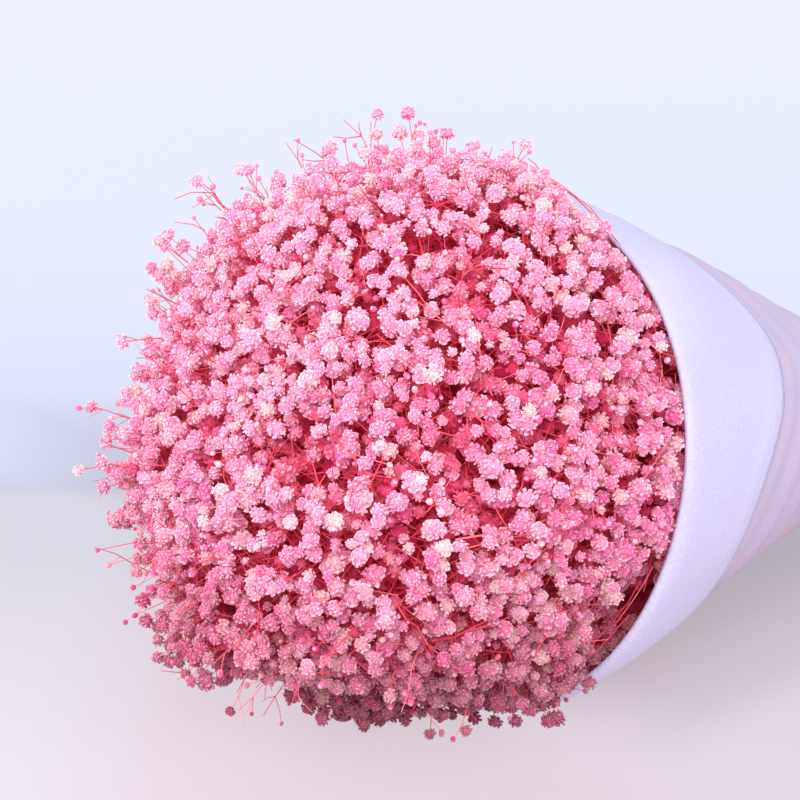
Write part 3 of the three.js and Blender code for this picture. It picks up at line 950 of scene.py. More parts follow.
# Single blossoms and buds at the outline, in millimetres.
STRAY_BLOSSOMS = (
    (-71, 45, 120), (-115, 77, 99), (-123, 82, 74), (-126, 84, 71), (-124, 82, 69), (-117, 78, 70),
    (-122, 81, 61), (-128, 84, 59), (-125, 82, 56), (-119, 79, 57), (-121, 79, 53), (-127, 82, 44),
    (-126, 81, 39), (-131, 80, 14), (-136, 80, 4), (-132, 78, 5), (-143, 80, -11), (-144, 79, -17),
    (-139, 77, -14), (-146, 77, -27), (-142, 74, -30), (-146, 74, -37), (-56, 31, 131),
    (-49, 24, 133), (-43, 18, 133), (-35, 9, 136), (-38, 13, 131), (-26, 0, 133), (-97, 65, 107),
    (-86, 57, 105), (-76, 49, 111), (-144, 68, -50), (-136, 45, -90), (-132, 41, -92),
    (-136, 49, -82), (-133, 39, -97), (-129, 35, -99), (-134, 36, -104), (-130, 33, -105),
    (-127, 30, -105), (-111, 16, -109), (-106, 15, -105), (-113, 21, -104), (-116, 24, -102),
    (-98, 9, -104), (-92, 3, -105), (-86, -2, -105), (-66, -27, -112), (-61, -31, -111),
    (-58, -35, -111), (-27, -67, -103), (-20, -73, -98), (-11, -86, -97), (-7, -87, -90),
    (-2, -90, -85), (-132, 49, -78),
)
STRAY_BUDS = (
    (-114, 77, 83), (-112, 75, 64), (-127, 82, 49), (-93, 62, 104), (-87, 58, 108), (-38, 13, 136),
    (-66, 40, 126), (-59, 34, 124), (-145, 79, -20), (-151, 66, -63), (-147, 62, -69),
    (-137, 57, -68), (-133, 53, -71), (-139, 53, -77), (-140, 48, -88), (-144, 49, -91),
    (-81, -9, -108), (-78, -14, -111), (-43, -43, -101), (-34, -55, -99), (-26, -71, -104),
    (-23, -72, -102), (-8, -90, -95), (-2, -95, -90), (-52, -42, -112), (-48, -42, -106),
)
# Stalks that arc along the mouth: angles round it and radius.
RIM_STALKS = (
    (98, 126, 0.1275),
    (104, 124, 0.1262),
    (118, 131, 0.1225),
    (143, 158, 0.1215),
    (196, 214, 0.1190),
    (192, 206, 0.1215),
    (204, 222, 0.1215),
)


def openness(point):
    """How far the blossoms stand back from the rim, 0 to 1: fully at the rim's openings."""
    near_rim = smooth(-0.045, -0.006, point.x)
    angle = math.atan2(point.z, point.y) % (2 * math.pi)
    return near_rim * max(
        math.exp(-(((angle - middle) / half) ** 2)) for middle, half in RIM_OPENINGS
    )


def crease_at(direction):
    """How deep the head is creased in a direction, 0 to 1."""
    nearest = math.inf
    for crease in CREASES:
        for first, second in zip(crease, crease[1:]):
            first = Vector(first)
            along = Vector(second) - first
            share = min(1.0, max(0.0, (direction - first).dot(along) / along.length_squared))
            nearest = min(nearest, (direction - first - along * share).length)
    return math.exp(-((nearest / CREASE_WIDTH) ** 2))


def surface_reach(direction):
    """Reach of the blossoms: the head's form with clumps, pits and creases."""
    wave = noise.noise(direction * 4.6 + Vector((7, 1, 3)))
    crumb = noise.noise(direction * 13.0 + Vector((2, 9, 4)))
    pit = smooth(0.24, 0.50, noise.noise(direction * 9.0 + Vector((5, 2, 8))))
    nearest = min((direction - Vector(middle)).length for middle in PITS)
    pit = max(pit, math.exp(-((nearest / PIT_WIDTH) ** 2)))
    reach = whole_form(direction) - HEAD_SHRUNK * smooth(0.0, -0.5, direction.x)
    for towards, amount, width in SHORTFALLS:
        reach -= amount * math.exp(-(((direction - Vector(towards)).length / width) ** 2))
    reach += SURFACE_WAVE * min(0.35, wave) + SURFACE_CRUMB * crumb
    reach -= PIT_DEPTH * pit + CREASE_DEPTH * crease_at(direction)
    return reach - OPENING_DEPTH * openness(HEAD_CENTRE + direction * reach)


def whole_form(direction):
    """The head's form, with its back drawn on into the sleeve as a plain tube."""
    if direction.x < 0:
        return head_reach(direction)
    across = math.hypot(direction.y, direction.z)
    return HEAD_RADIUS * (1 + HEAD_CROWN * direction.z) / max(0.2, across)


def rim_dip(x, angle):
    """How far the paper dips at the top of the mouth; just below that it bulges."""
    top = math.exp(-(((angle - math.radians(102)) / 0.4) ** 2))
    dip = 0.0036 * top + 0.0034 * top * (1 - smooth(0.0, 0.045, x))
    bulge = 0.0034 * math.exp(-(((angle - math.radians(133)) / 0.3) ** 2))
    return (dip - bulge * smooth(-0.005, 0.03, x)) * (1 - smooth(0.05, 0.16, x))


def kept_in_mouth(point):
    """Draws a point away from the paper's inside, and from the air just ahead of the rim."""
    across = math.hypot(point.y, point.z)
    angle = math.atan2(point.z, point.y) % (2 * math.pi)
    room = inside_of_paper(point.x) - 0.0035 - rim_dip(point.x, angle)
    room += 0.3 * max(0.0, -point.x - 0.004)
    for middle, half, amount in OVERHANGS:
        over = amount * math.exp(-(((angle - middle) / half) ** 2))
        room += over * smooth(0.0, -0.005, point.x)
    if point.x < -0.035 or across < room:
        return point
    return Vector((point.x, point.y * room / across, point.z * room / across))


class Head:
    """The solid sprays, to tell which spray a point belongs to."""

    def __init__(self):
        corners = []
        triangles = []
        self.owner = []
        for name in SPRAYS:
            mesh = bpy.data.objects[name].data
            start = len(corners)
            corners.extend(STAND @ vertex.co for vertex in mesh.vertices)
            for face in mesh.polygons:
                triangles.append([start + i for i in face.vertices])
                self.owner.append(name)
        self.corners = corners
        self.tree = BVHTree.FromPolygons(corners, triangles)

    def spray_at(self, point):
        return self.owner[self.tree.find_nearest(point)[2]]

    def furthest_tips(self):
        """Middles of the balls that the solids carry on their stray twigs."""
        proud = []
        for corner in self.corners:
            away = corner - HEAD_CENTRE
            if corner.x < 0 and away.length > head_reach(away.normalized()) + 0.0075:
                proud.append(corner)
        tips = []
        while proud:
            near = [point for point in proud if (point - proud[0]).length < 0.0095]
            tips.append(sum(near, Vector()) / len(near))
            proud = [point for point in proud if (point - tips[-1]).length > 0.0095]
        return tips


def kept_clear(point, radius):
    """Lifts a point so that a ball round it stays above the table."""
    over = radius + TABLE_GAP - height_of(point)
    return point + UP * over if over > 0 else point


# How the head grows. Forms of blossoms: seed, petals, flatness and size of the heart.
OPEN_BLOSSOMS = (
    (3, 28, 0.88, 0.40),
    (8, 27, 0.84, 0.40),
    (15, 30, 0.94, 0.40),
    (21, 27, 0.86, 0.41),
)
HALF_BLOSSOMS = ((2, 12, 1.0, 0.41), (9, 11, 0.95, 0.42))
ROOM_ROUND = 0.58
FULLY_OPEN = 0.78
FORKS = 1300
# Depths below the surface, heights above it, and lengths, each from least to most.
FORK_DEPTHS = (0.014, 0.026)
BRANCH_LENGTHS = (0.03, 0.06)
INNER_DEPTHS = (0.005, 0.018)
TANGLE_DEPTHS = (0.005, 0.024)
CROSS_DEPTHS = (0.001, 0.008)
CROSS_LENGTHS = (0.014, 0.04)
LOOSE_HEIGHTS = (0.0005, 0.009)
SPRIG_HEIGHTS = (0.002, 0.013)
SIDE_TWIGS = (0.006, 0.013)
STALK_TWIGS = (0.008, 0.018)
FORK_RUN = 0.018
TANGLE_LENGTH = 0.022
AIRY_HEIGHT = 0.007
# How far back each kind still grows, along the bunch's axis.
BRANCHES_END = 0.02
TANGLE_END = 0.012
LOOSE_END = -0.020
SPRIGS_END = -0.025
CROSS_END = -0.004


class Planter:
    """Grows blossoms, buds and twigs, each into the spray that it belongs to."""

    def __init__(self, settings):
        self.settings = settings
        self.rng = random.Random(4117)
        self.head = Head()
        self.open = [blossom(*form) for form in OPEN_BLOSSOMS]
        self.half = [blossom(*form) for form in HALF_BLOSSOMS]
        self.bud = bud()
        self.blossoms = {name: Heap() for name in SPRAYS}
        self.twigs = {name: Heap() for name in SPRAYS}
        self.plant_forks()

    def stray(self, amount):
        return Vector(self.rng.uniform(-amount, amount) for _ in range(3))

    def bent(self, start, end, amount):
        return [start, (start + end) / 2 + self.stray(amount), end]

    def thin(self, least=0.8, most=1.2):
        return self.settings.twig_radius * self.rng.uniform(least, most)

    def tint(self, point, depth):
        """Warmth, cream and depth of one copy; some patches took less dye, and copies on the side
        that PALE_SIDE points to are paler.
        """
        patch = noise.noise(Vector(point) * 28.0)
        kind = self.rng.random()
        low, high = (0.6, 1.0) if kind < 0.11 else (0.25, 0.5) if kind < 0.3 else (0.0, 0.15)
        cream = self.rng.uniform(low, high)
        side = max(0.0, (Vector(point) - HEAD_CENTRE).normalized().dot(PALE_SIDE))
        warmth = min(1.0, max(0.0, self.rng.gauss(0.42, 0.22) + 0.5 * patch + 0.5 * side))
        return (warmth, cream, min(1.0, max(0.0, depth)))

    def plant_forks(self):
        """Forks below the surface, where the twigs of a clump part, with the branch to each."""
        directions = list(even_directions(FORKS, self.rng, 0.06))
        self.forks = KDTree(len(directions))
        self.clumps = KDTree(len(directions))
        self.fork_points = []
        self.clump_ways = directions
        for i, direction in enumerate(directions):
            surface = self.place_at(direction, 0.0)
            point = surface - growth_at(surface) * self.rng.uniform(*FORK_DEPTHS)
            self.fork_points.append(point)
            self.forks.insert(point, i)
            self.clumps.insert(direction, i)
            if point.x < BRANCHES_END:
                back = ((FAN_POINT - point).normalized() + FAN_WAY * 0.2).normalized()
                root = point + back * self.rng.uniform(*BRANCH_LENGTHS) + self.stray(0.006)
                if root.x > -0.002:
                    across = math.hypot(root.y, root.z)
                    room = inside_of_paper(root.x) - 0.004
                    if across > room:
                        root.y *= room / across
                        root.z *= room / across
                path = self.bent(kept_clear(root, 0.004), point, 0.002)
                self.twig(path, self.thin(1.3, 1.9), 0.5)
        self.forks.balance()
        self.clumps.balance()

    def twig(self, path, thick, depth, spray=None):
        spray = spray or self.head.spray_at(path[-1])
        last = len(path) - 1
        radii = [thick * (1.3 - 0.45 * i / last) for i in range(last + 1)]
        self.twigs[spray].add_rod(path, radii, (self.rng.random(), 0, depth))

    def pedicel(self, point, depth):
        fork = self.fork_points[self.forks.find(point - growth_at(point) * FORK_RUN)[1]]
        self.twig(self.bent(fork, point, 0.0016), self.thin(), depth)

    def flower(self, master, point, way, size, depth):
        """One blossom or bud at a point, facing a way."""
        spin = Matrix.Rotation(self.rng.uniform(0, 2 * math.pi), 3, "Z").to_quaternion()
        turn = way.to_track_quat("Z", "Y") @ spin
        wide = size * self.rng.uniform(0.9, 1.1)
        stretch = (wide, size * self.rng.uniform(0.9, 1.1), size)
        spray = self.head.spray_at(point)
        self.blossoms[spray].add(master, point, turn, stretch, self.tint(point, depth))

    def place_at(self, direction, sunk):
        return kept_in_mouth(HEAD_CENTRE + direction * (surface_reach(direction) - sunk))

    def gathered(self, direction):
        """A direction drawn a little towards its clump."""
        clump = self.clump_ways[self.clumps.find(direction)[1]]
        return direction.lerp(clump, self.rng.uniform(0.0, 0.4)).normalized()

    def cover(self):
        """Open and half-open blossoms on the face of the head."""
        rng = self.rng
        for direction in even_directions(self.settings.blossoms, rng, 0.03):
            direction = self.gathered(direction)
            point = self.place_at(direction, rng.gauss(0.0014, 0.0036))
            if point.x > HEAD_END:
                continue
            if rng.random() < FULLY_OPEN:
                size = self.settings.blossom_size * rng.uniform(0.76, 1.12)
                master = rng.choice(self.open)
            else:
                size = self.settings.blossom_size * rng.uniform(0.48, 0.72)
                master = rng.choice(self.half)
            point = kept_clear(point, size * ROOM_ROUND)
            way = growth_at(point) + self.stray(0.7)
            buried = whole_form(direction) - HEAD_SHRUNK - (point - HEAD_CENTRE).length
            self.flower(master, point, way, size, (buried - 0.003) / 0.02)
            self.pedicel(point, 0.3)

    def fill(self):
        """Smaller blossoms below the first layer."""
        rng = self.rng
        for direction in even_directions(self.settings.inner_blossoms, rng, 0.04):
            sunk = rng.uniform(*INNER_DEPTHS)
            point = self.place_at(direction, sunk)
            if point.x > HEAD_END + 0.02:
                continue
            size = self.settings.blossom_size * rng.uniform(0.6, 1.0)
            point = kept_clear(point, size * ROOM_ROUND)
            self.flower(rng.choice(self.half), point, growth_at(point), size, 0.4 + sunk / 0.03)
            if rng.random() < 0.5:
                self.pedicel(point, 0.6)

    def tangle(self):
        """Thin twigs that cross one another below the blossoms."""
        rng = self.rng
        for direction in even_directions(self.settings.inner_twigs, rng, 0.1):
            start = self.place_at(direction, rng.uniform(*TANGLE_DEPTHS))
            if start.x > TANGLE_END:
                continue
            side = self.stray(1.0).cross(direction).normalized()
            way = (growth_at(start) * rng.uniform(-0.4, 0.6) + side).normalized()
            end = kept_in_mouth(kept_clear(start + way * TANGLE_LENGTH, 0.002))
            self.twig(self.bent(start, end, 0.0015), self.thin(), 0.6)

    def sprinkle_buds(self):
        rng = self.rng
        for direction in even_directions(self.settings.buds, rng, 0.07):
            point = self.place_at(direction, rng.uniform(-0.0055, 0.004))
            if point.x > HEAD_END - 0.012:
                continue
            size = self.settings.bud_size * rng.uniform(0.75, 1.3)
            point = kept_clear(point, size * ROOM_ROUND)
            self.flower(self.bud, point, growth_at(point) + self.stray(0.8), size, 0.0)
            self.pedicel(point, 0.1)

    def loosen(self):
        """Blossoms that stand a little proud of the dense head on their own stalks."""
        rng = self.rng
        middle, width = AIRY_SIDE
        least, most = LOOSE_HEIGHTS
        for direction in even_directions(self.settings.loose_blossoms, rng, 0.1):
            airy = math.exp(-(((direction - Vector(middle)).length / width) ** 2))
            point = self.place_at(direction, -rng.uniform(least, most + AIRY_HEIGHT * airy))
            if point.x > LOOSE_END or height_of(point) < 0.012:
                continue
            point = kept_in_mouth(point)
            size = self.settings.blossom_size * rng.uniform(0.55, 0.95)
            master = rng.choice(self.open)
            self.flower(master, point, growth_at(point) + self.stray(0.5), size, 0.0)
            root = self.place_at(direction, 0.012) - growth_at(point) * 0.006
            self.twig(self.bent(root, point, 0.001), self.settings.twig_radius, 0.1)

    def sprig(self, root, tip, tipped):
        """A stray twig that forks twice, with a blossom at its tip or none."""
        rng = self.rng
        thin = self.settings.twig_radius
        middle = root.lerp(tip, 0.5) + self.stray(0.002)
        knee = root.lerp(tip, 0.75) + self.stray(0.0015)
        spray = self.head.spray_at(root)
        self.twig([root, middle, knee, tip], thin * 1.15, 0.1, spray)
        way = (tip - root).normalized()
        for start in (middle, knee):
            for _ in range(rng.choice((1, 2))):
                side = self.stray(1.0).cross(way).normalized()
                reach = rng.uniform(*SIDE_TWIGS)
                end = start + (way * 0.8 + side * 0.7).normalized() * reach
                end = kept_clear(end, self.settings.bud_size)
                self.twig(self.bent(start, end, 0.0006), thin * 0.75, 0.0, spray)
                if rng.random() < 0.55:
                    size = self.settings.bud_size * rng.uniform(0.6, 1.2)
                    self.flower(self.bud, end, way, size, 0.0)
        if tipped:
            size = self.settings.blossom_size * rng.uniform(0.65, 0.95)
            self.flower(rng.choice(self.open), tip, way + self.stray(0.5), size, 0.0)

    def add_sprigs(self):
        rng = self.rng
        for tip in self.head.furthest_tips():
            inward = (HEAD_CENTRE - tip).normalized()
            tipped = tip.x < -0.03 and rng.random() < 0.7
            self.sprig(tip + (inward + self.stray(0.35)) * 0.03, tip, tipped)
        for direction in even_directions(self.settings.sprigs, rng, 0.15):
            tip = HEAD_CENTRE + direction * (head_reach(direction) + rng.uniform(*SPRIG_HEIGHTS))
            if tip.x > SPRIGS_END or height_of(tip) < 0.02:
                continue
            root = self.place_at((direction + self.stray(0.14)).normalized(), 0.01)
            self.sprig(root, tip, rng.random() < 0.3)

    def cross_twigs(self):
        """Thin stalks that run over the gaps between the clumps."""
        rng = self.rng
        for direction in even_directions(self.settings.cross_twigs, rng, 0.1):
            start = self.place_at(direction, rng.uniform(*CROSS_DEPTHS))
            if start.x > HEAD_END:
                continue
            side = self.stray(1.0).cross(direction).normalized()
            out = (start - FAN_POINT).normalized()
            way = (out * rng.uniform(0.2, 1.2) + side * rng.uniform(0.3, 1.0)).normalized()
            spot = (start + way * rng.uniform(*CROSS_LENGTHS) - HEAD_CENTRE).normalized()
            end = HEAD_CENTRE + spot * (surface_reach(spot) + rng.uniform(-0.003, 0.003))
            if end.x > CROSS_END:
                continue
            end = kept_in_mouth(kept_clear(end, self.settings.bud_size))
            bend = (start + end) / 2 + direction * rng.uniform(0.0005, 0.003)
            self.twig([start, bend, end], self.thin(), 0.0)
            if rng.random() < 0.7:
                size = self.settings.bud_size * rng.uniform(0.6, 1.1)
                self.flower(self.bud, end, way, size, 0.0)

    def lay_long_stalks(self):
        """Long forking stalks that show over the clumps."""
        rng = self.rng
        for first, last in LONG_STALKS:
            ends = [Vector(first).normalized(), Vector(last).normalized()]
            path = []
            for share in (-0.15, 0.2, 0.5, 0.8, 1.1):
                way = ends[0].lerp(ends[1], share).normalized()
                lift = rng.uniform(-0.001, 0.002)
                smoothed = whole_form(way) - HEAD_SHRUNK
                reach = min(smoothed, surface_reach(way) + 0.006) + lift
                path.append(kept_in_mouth(HEAD_CENTRE + way * reach))
            self.twig(path, self.thin(1.2, 1.7), 0.0)
            for fork, ahead in zip(path[1:4], path[2:]):
                way = (ahead - fork).normalized()
                side = self.stray(1.0).cross(way).normalized()
                end = fork + (way + side * 0.45) * rng.uniform(*STALK_TWIGS)
                self.twig([fork, (fork + end) / 2, end], self.settings.twig_radius, 0.0)
                size = self.settings.bud_size * rng.uniform(0.7, 1.2)
                self.flower(self.bud, end, way, size, 0.0)

    def set_strays(self):
        """The bare twigs, blossoms and buds that stand out at the outline."""
        for places in STRAY_TWIGS:
            path = [kept_clear(Vector(place) * MM, 0.0006) for place in places]
            self.twig(path, self.settings.twig_radius, 0.0, self.head.spray_at(path[0]))
        strays = [(place, self.settings.blossom_size, self.open) for place in STRAY_BLOSSOMS]
        strays += [(place, self.settings.bud_size, [self.bud]) for place in STRAY_BUDS]
        for place, size, masters in strays:
            point = kept_clear(Vector(place) * MM, size * 0.56)
            direction = (point - HEAD_CENTRE).normalized()
            root = self.place_at((direction + self.stray(0.06)).normalized(), 0.008)
            self.twig(self.bent(root, point, 0.0015), self.settings.twig_radius, 0.0)
            master = self.rng.choice(masters)
            self.flower(master, point, direction, size * self.rng.uniform(0.8, 1.0), 0.0)

    def lay_rim_stalks(self):
        """Stalks that arc along the mouth of the sleeve."""
        rng = self.rng
        for first, last, radius in RIM_STALKS:
            path = []
            for share in (0.0, 0.3, 0.6, 1.0):
                angle = math.radians(first + (last - first) * share)
                x = -0.004 - 0.004 * share + rng.uniform(-0.001, 0.001)
                path.append(Vector((x, radius * math.cos(angle), radius * math.sin(angle))))
            self.twig(path, self.settings.twig_radius * 1.4, 0.0)
            end = path[-1] + Vector((-0.006, 0, 0)) + self.stray(0.003)
            self.twig([path[2], (path[2] + end) / 2, end], self.settings.twig_radius, 0.0)


def make_heads(settings):
    planter = Planter(settings)
    planter.cover()
    planter.fill()
    planter.tangle()
    planter.sprinkle_buds()
    planter.loosen()
    planter.add_sprigs()
    planter.cross_twigs()
    planter.lay_long_stalks()
    planter.set_strays()
    planter.lay_rim_stalks()
    petals = blossom_material(settings)
    thin = twig_material(settings)
    tangle = tangle_material(settings)
    for name in SPRAYS:
        blossoms = planter.blossoms[name].piece(f"{name}_blossoms", petals)
        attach(blossoms, "root")
        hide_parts(name)
        twigs = planter.twigs[name].piece(f"{name}_twigs", thin)
        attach(twigs, "root")
        core = make_core(name, tangle)
        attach(core, "root")


CORE_SUNK = 0.028
CORE_END = 0.028


def make_core(name, material):
    """The tangle inside a spray: its solid, cut off behind and drawn in below the blossoms."""
    solid = bpy.data.objects[name]
    mesh = solid.data.copy()
    mesh.name = f"{name}_tangle"
    core = linked(mesh.name, mesh)
    take_up(core)
    bpy.ops.object.mode_set(mode="EDIT")
    bpy.ops.mesh.select_all(action="SELECT")
    bpy.ops.mesh.remove_doubles(threshold=1e-6)
    bpy.ops.mesh.bisect(
        plane_co=lay((CORE_END, 0, 0)),
        plane_no=LAY.to_3x3() @ Vector((1, 0, 0)),
        clear_outer=True,
        use_fill=True,
    )
    bpy.ops.object.mode_set(mode="OBJECT")
    for vertex in mesh.vertices:
        point = STAND @ vertex.co
        away = point - HEAD_CENTRE
        direction = away.normalized()
        reach = min(away.length, surface_reach(direction)) - CORE_SUNK
        vertex.co = LAY @ (HEAD_CENTRE + direction * max(0.01, reach))
    mesh.materials.clear()
    mesh.materials.append(material)
    return core


# Main stems

STEM_END_SPREAD = 1.3
STEM_SIDES = 10
STEM_TOP = -0.01
THICK_BEHIND = 0.2
EXTRUDED = 0.001


def stem_line(name):
    """Where a spray's main stem runs: its neck crossing and its cut end, on the bunch's axis."""
    corners = [STAND @ vertex.co for vertex in bpy.data.objects[name].data.vertices]
    furthest = max(corner.x for corner in corners)
    cut = [corner for corner in corners if corner.x > furthest - 0.0015]
    end = sum(cut, Vector()) / len(cut)
    return Vector((NECK_AT, end.y / STEM_END_SPREAD, end.z / STEM_END_SPREAD)), end


def stem_stations(end_x, rng):
    """Places along a stem with its swelling there: a cut end, a node now and then, a tip."""
    stations = [(end_x, 0.86), (end_x - 0.0006, 1.0)]
    x = end_x - rng.uniform(0.02, 0.03)
    while x > STEM_TOP:
        stations += [(x + 0.0035, 0.98), (x, 1.2), (x - 0.004, 0.97)]
        x -= rng.uniform(0.05, 0.075)
    stations.append((STEM_TOP, 0.6))
    return stations


def make_stems(settings):
    rng = random.Random(88)
    material = stem_material(settings)
    for name in SPRAYS:
        neck, end = stem_line(name)
        deselect_all()
        bpy.ops.mesh.primitive_circle_add(
            vertices=STEM_SIDES, radius=settings.radius, fill_type="NGON"
        )
        stem = bpy.context.active_object
        stem.name = f"{name}_stem"
        stem.data.name = stem.name
        slope = Vector((0, neck.y, neck.z)) / (FAN_POINT.x - NECK_AT)
        stations = stem_stations(end.x, rng)
        bpy.ops.object.mode_set(mode="EDIT")
        bpy.ops.mesh.select_all(action="SELECT")
        for _ in stations[1:]:
            bpy.ops.mesh.extrude_region_move(TRANSFORM_OT_translate={"value": (0, 0, EXTRUDED)})
        bpy.ops.object.mode_set(mode="OBJECT")
        rings = {}
        for vertex in stem.data.vertices:
            rings.setdefault(round(vertex.co.z / EXTRUDED), []).append(vertex)
        for step, (x, swell) in enumerate(stations):
            if x > NECK_AT:
                middle = neck.lerp(end, (x - NECK_AT) / (end.x - NECK_AT))
            else:
                middle = Vector((x, slope.y * (FAN_POINT.x - x), slope.z * (FAN_POINT.x - x)))
            narrow = 1.0 if x > THICK_BEHIND else 0.75
            for vertex in rings[step]:
                place = middle + Vector((0, -vertex.co.x, vertex.co.y)) * swell * narrow
                vertex.co = lay(place)
        take_up(stem)
        faced_outward(50)
        stem.data.materials.append(material)
        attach(stem, "root")


# Paper sleeve

FOLD_RADIUS = 0.0013
PAPER_LIFT = 0.0006
SLEEVE_COLUMNS = 168
CONE_ROWS = 54
COLLAR_ROWS = 26
# Shares of the sheet's length that lie on the cone with its skirt, and on the collar.
CONE_SHARE = 0.72
COLLAR_SHARE = 0.28
NECK_HALF = 0.0045
# How deep the crimson still colours the paper's inside, from fully to not at all.
CRIMSON_DEPTHS = (0.24, 0.36)
SKIRT_LENGTH = 0.026
SKIRT_RADIUS = 0.021
COLLAR_WIDTH = 0.078
CORNER_REACH = 0.042
CORNERS_AT = (math.radians(146), math.radians(326))
CORNER_BEFORE = 0.31
CORNER_AFTER = 0.5


def pleat_waves(angle):
    """Uneven pleats round the neck, from -1 to 1."""
    return (
        0.55 * math.cos(10 * angle)
        + 0.3 * math.cos(17 * angle + 1.3)
        + 0.25 * math.cos(7 * angle + 0.6)
    ) / 1.1


def cone_radius(x, angle):
    """Radius of the sheet's middle on the cone, with soft folds that run to the neck."""
    if x > NECK_AT + NECK_HALF:
        plain = NECK_RADIUS + (SKIRT_RADIUS - NECK_RADIUS) * (x - NECK_AT) / SKIRT_LENGTH
    elif x > NECK_AT - NECK_HALF:
        plain = NECK_RADIUS
    else:
        plain = inside_of_paper(x)
    gathered = smooth(0.15, 0.39, x) * (1 - 0.72 * math.exp(-(((x - NECK_AT) / 0.012) ** 2)))
    dents = noise.noise(Vector((x * 9, math.cos(angle) * 1.6, math.sin(angle) * 1.6)))
    dent = 0.0022 * dents * smooth(0.02, 0.12, x) * (1 - smooth(0.33, 0.41, x))
    behind = x - collar_width(angle)
    puffed = smooth(-0.03, 0.012, behind) * (1 - smooth(0.05, 0.16, behind))
    puff = 0.002 * puffed * (0.6 - 0.4 * math.sin(angle))
    folds = 0.0012 * puffed * math.sin(behind * 190 + 1.5 * math.cos(angle + 0.8))
    plain += PAPER_LIFT - rim_dip(x, angle)
    return plain + 0.0013 * gathered * pleat_waves(angle) + dent + puff + folds


def collar_width(angle):
    reach = 0.0
    for corner in CORNERS_AT:
        turn = (angle - corner + math.pi) % (2 * math.pi) - math.pi
        half = CORNER_BEFORE if turn < 0 else CORNER_AFTER
        reach = max(reach, math.exp(-((turn / half) ** 2)))
    return COLLAR_WIDTH + CORNER_REACH * reach + 0.001 * math.sin(3 * angle + 0.4)


def sheet_point(along, turn, settings):
    """A point of the paper: along runs from the skirt (0) to the collar's edge (1)."""
    angle = turn % (2 * math.pi)
    skirt_end = NECK_AT + SKIRT_LENGTH
    wave = 0.0012 * math.sin(3 * angle + 2.2) + 0.0008 * math.sin(5 * angle)
    lapped = smooth(2 * math.pi - 0.22, 2 * math.pi - 0.02, turn)
    if along < CONE_SHARE:
        x = skirt_end * (1 - along / CONE_SHARE)
        radius = cone_radius(x, angle) + lapped * 0.0011
    else:
        back = (along - CONE_SHARE) / (1 - CONE_SHARE)
        x = collar_width(angle) * back
        rounding = min(1.0, back / 0.03)
        slack = 0.55 - 0.45 * math.sin(angle)
        arch = math.sin(math.pi * min(1.0, back * 0.78 + 0.08)) ** 0.8
        puff = settings.collar_puff * slack * arch
        spot = Vector((x * 16, math.cos(angle) * 3, math.sin(angle) * 3 + 5))
        ripple = 0.0009 * noise.noise(spot)
        radius = cone_radius(x, angle) + FOLD_RADIUS * 2 * rounding + lapped * 0.0022
        radius += (puff + ripple) * smooth(0.0, 0.12, back)
        x -= FOLD_RADIUS * math.sin(math.pi * min(1.0, rounding)) * 0.9
    shift = wave * (1 - smooth(0.0, 0.1, abs(x)))
    point = Vector((x + shift, radius * math.cos(angle), radius * math.sin(angle)))
    if 0 <= x < 0.14:
        low = 0.0024 if along < CONE_SHARE else 0.0004
        over = low - height_of(point)
        if over > 0:
            point += UP * over
    return point


def keep_crimson_inside(mesh):
    """Leaves the crimson only on the paper's inside, not on its outside."""
    mesh.update()
    stained = mesh.attributes["stained"].data
    for i, vertex in enumerate(mesh.vertices):
        point = STAND @ vertex.co
        normal = STAND.to_3x3() @ vertex.normal
        if normal.y * point.y + normal.z * point.z > -0.3 * math.hypot(point.y, point.z):
            stained[i].value = 0.0


def make_sleeve(settings):
    rows = [row / CONE_ROWS * CONE_SHARE for row in range(CONE_ROWS)]
    for row in range(COLLAR_ROWS + 1):
        rows.append(CONE_SHARE + COLLAR_SHARE * (row / COLLAR_ROWS) ** 1.25)
    span = 2 * math.pi + settings.overlap
    full, clean = CRIMSON_DEPTHS
    points = []
    doubled = []
    dyed = []
    for along in rows:
        for column in range(SLEEVE_COLUMNS + 1):
            turn = span * column / SLEEVE_COLUMNS
            spot = sheet_point(along, turn, settings)
            points.append(lay(spot))
            below_collar = 0 <= spot.x < collar_width(turn) * 0.99
            doubled.append(1.0 if along > CONE_SHARE or below_collar else 0.0)
            dyed.append(smooth(clean, full, spot.x) if along < CONE_SHARE else 0.0)
    faces = []
    width = SLEEVE_COLUMNS + 1
    for row in range(len(rows) - 1):
        for column in range(SLEEVE_COLUMNS):
            a = row * width + column
            faces.append((a, a + width, a + width + 1, a + 1))
    mesh = bpy.data.meshes.new("paper_sleeve")
    mesh.from_pydata(points, [], faces)
    for name, values in (("doubled", doubled), ("stained", dyed)):
        mesh.attributes.new(name, "FLOAT", "POINT").data.foreach_set("value", values)
    mesh.materials.append(paper_material(settings))
    sleeve = linked("paper_sleeve", mesh)
    take_up(sleeve)
    bpy.ops.object.shade_smooth()
    wall = sleeve.modifiers.new("paper", "SOLIDIFY")
    wall.thickness = settings.thickness
    wall.offset = 0
    bpy.ops.object.modifier_apply(modifier=wall.name)
    keep_crimson_inside(sleeve.data)
    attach(sleeve, "root")
    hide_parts("wrap")


# Tie

TIE_TURNS = 3
TIE_PITCH = 0.0022
TIE_STRANDS = 2
TIE_RADIUS = NECK_RADIUS + 0.0028
CORD_RADIUS = 0.00115


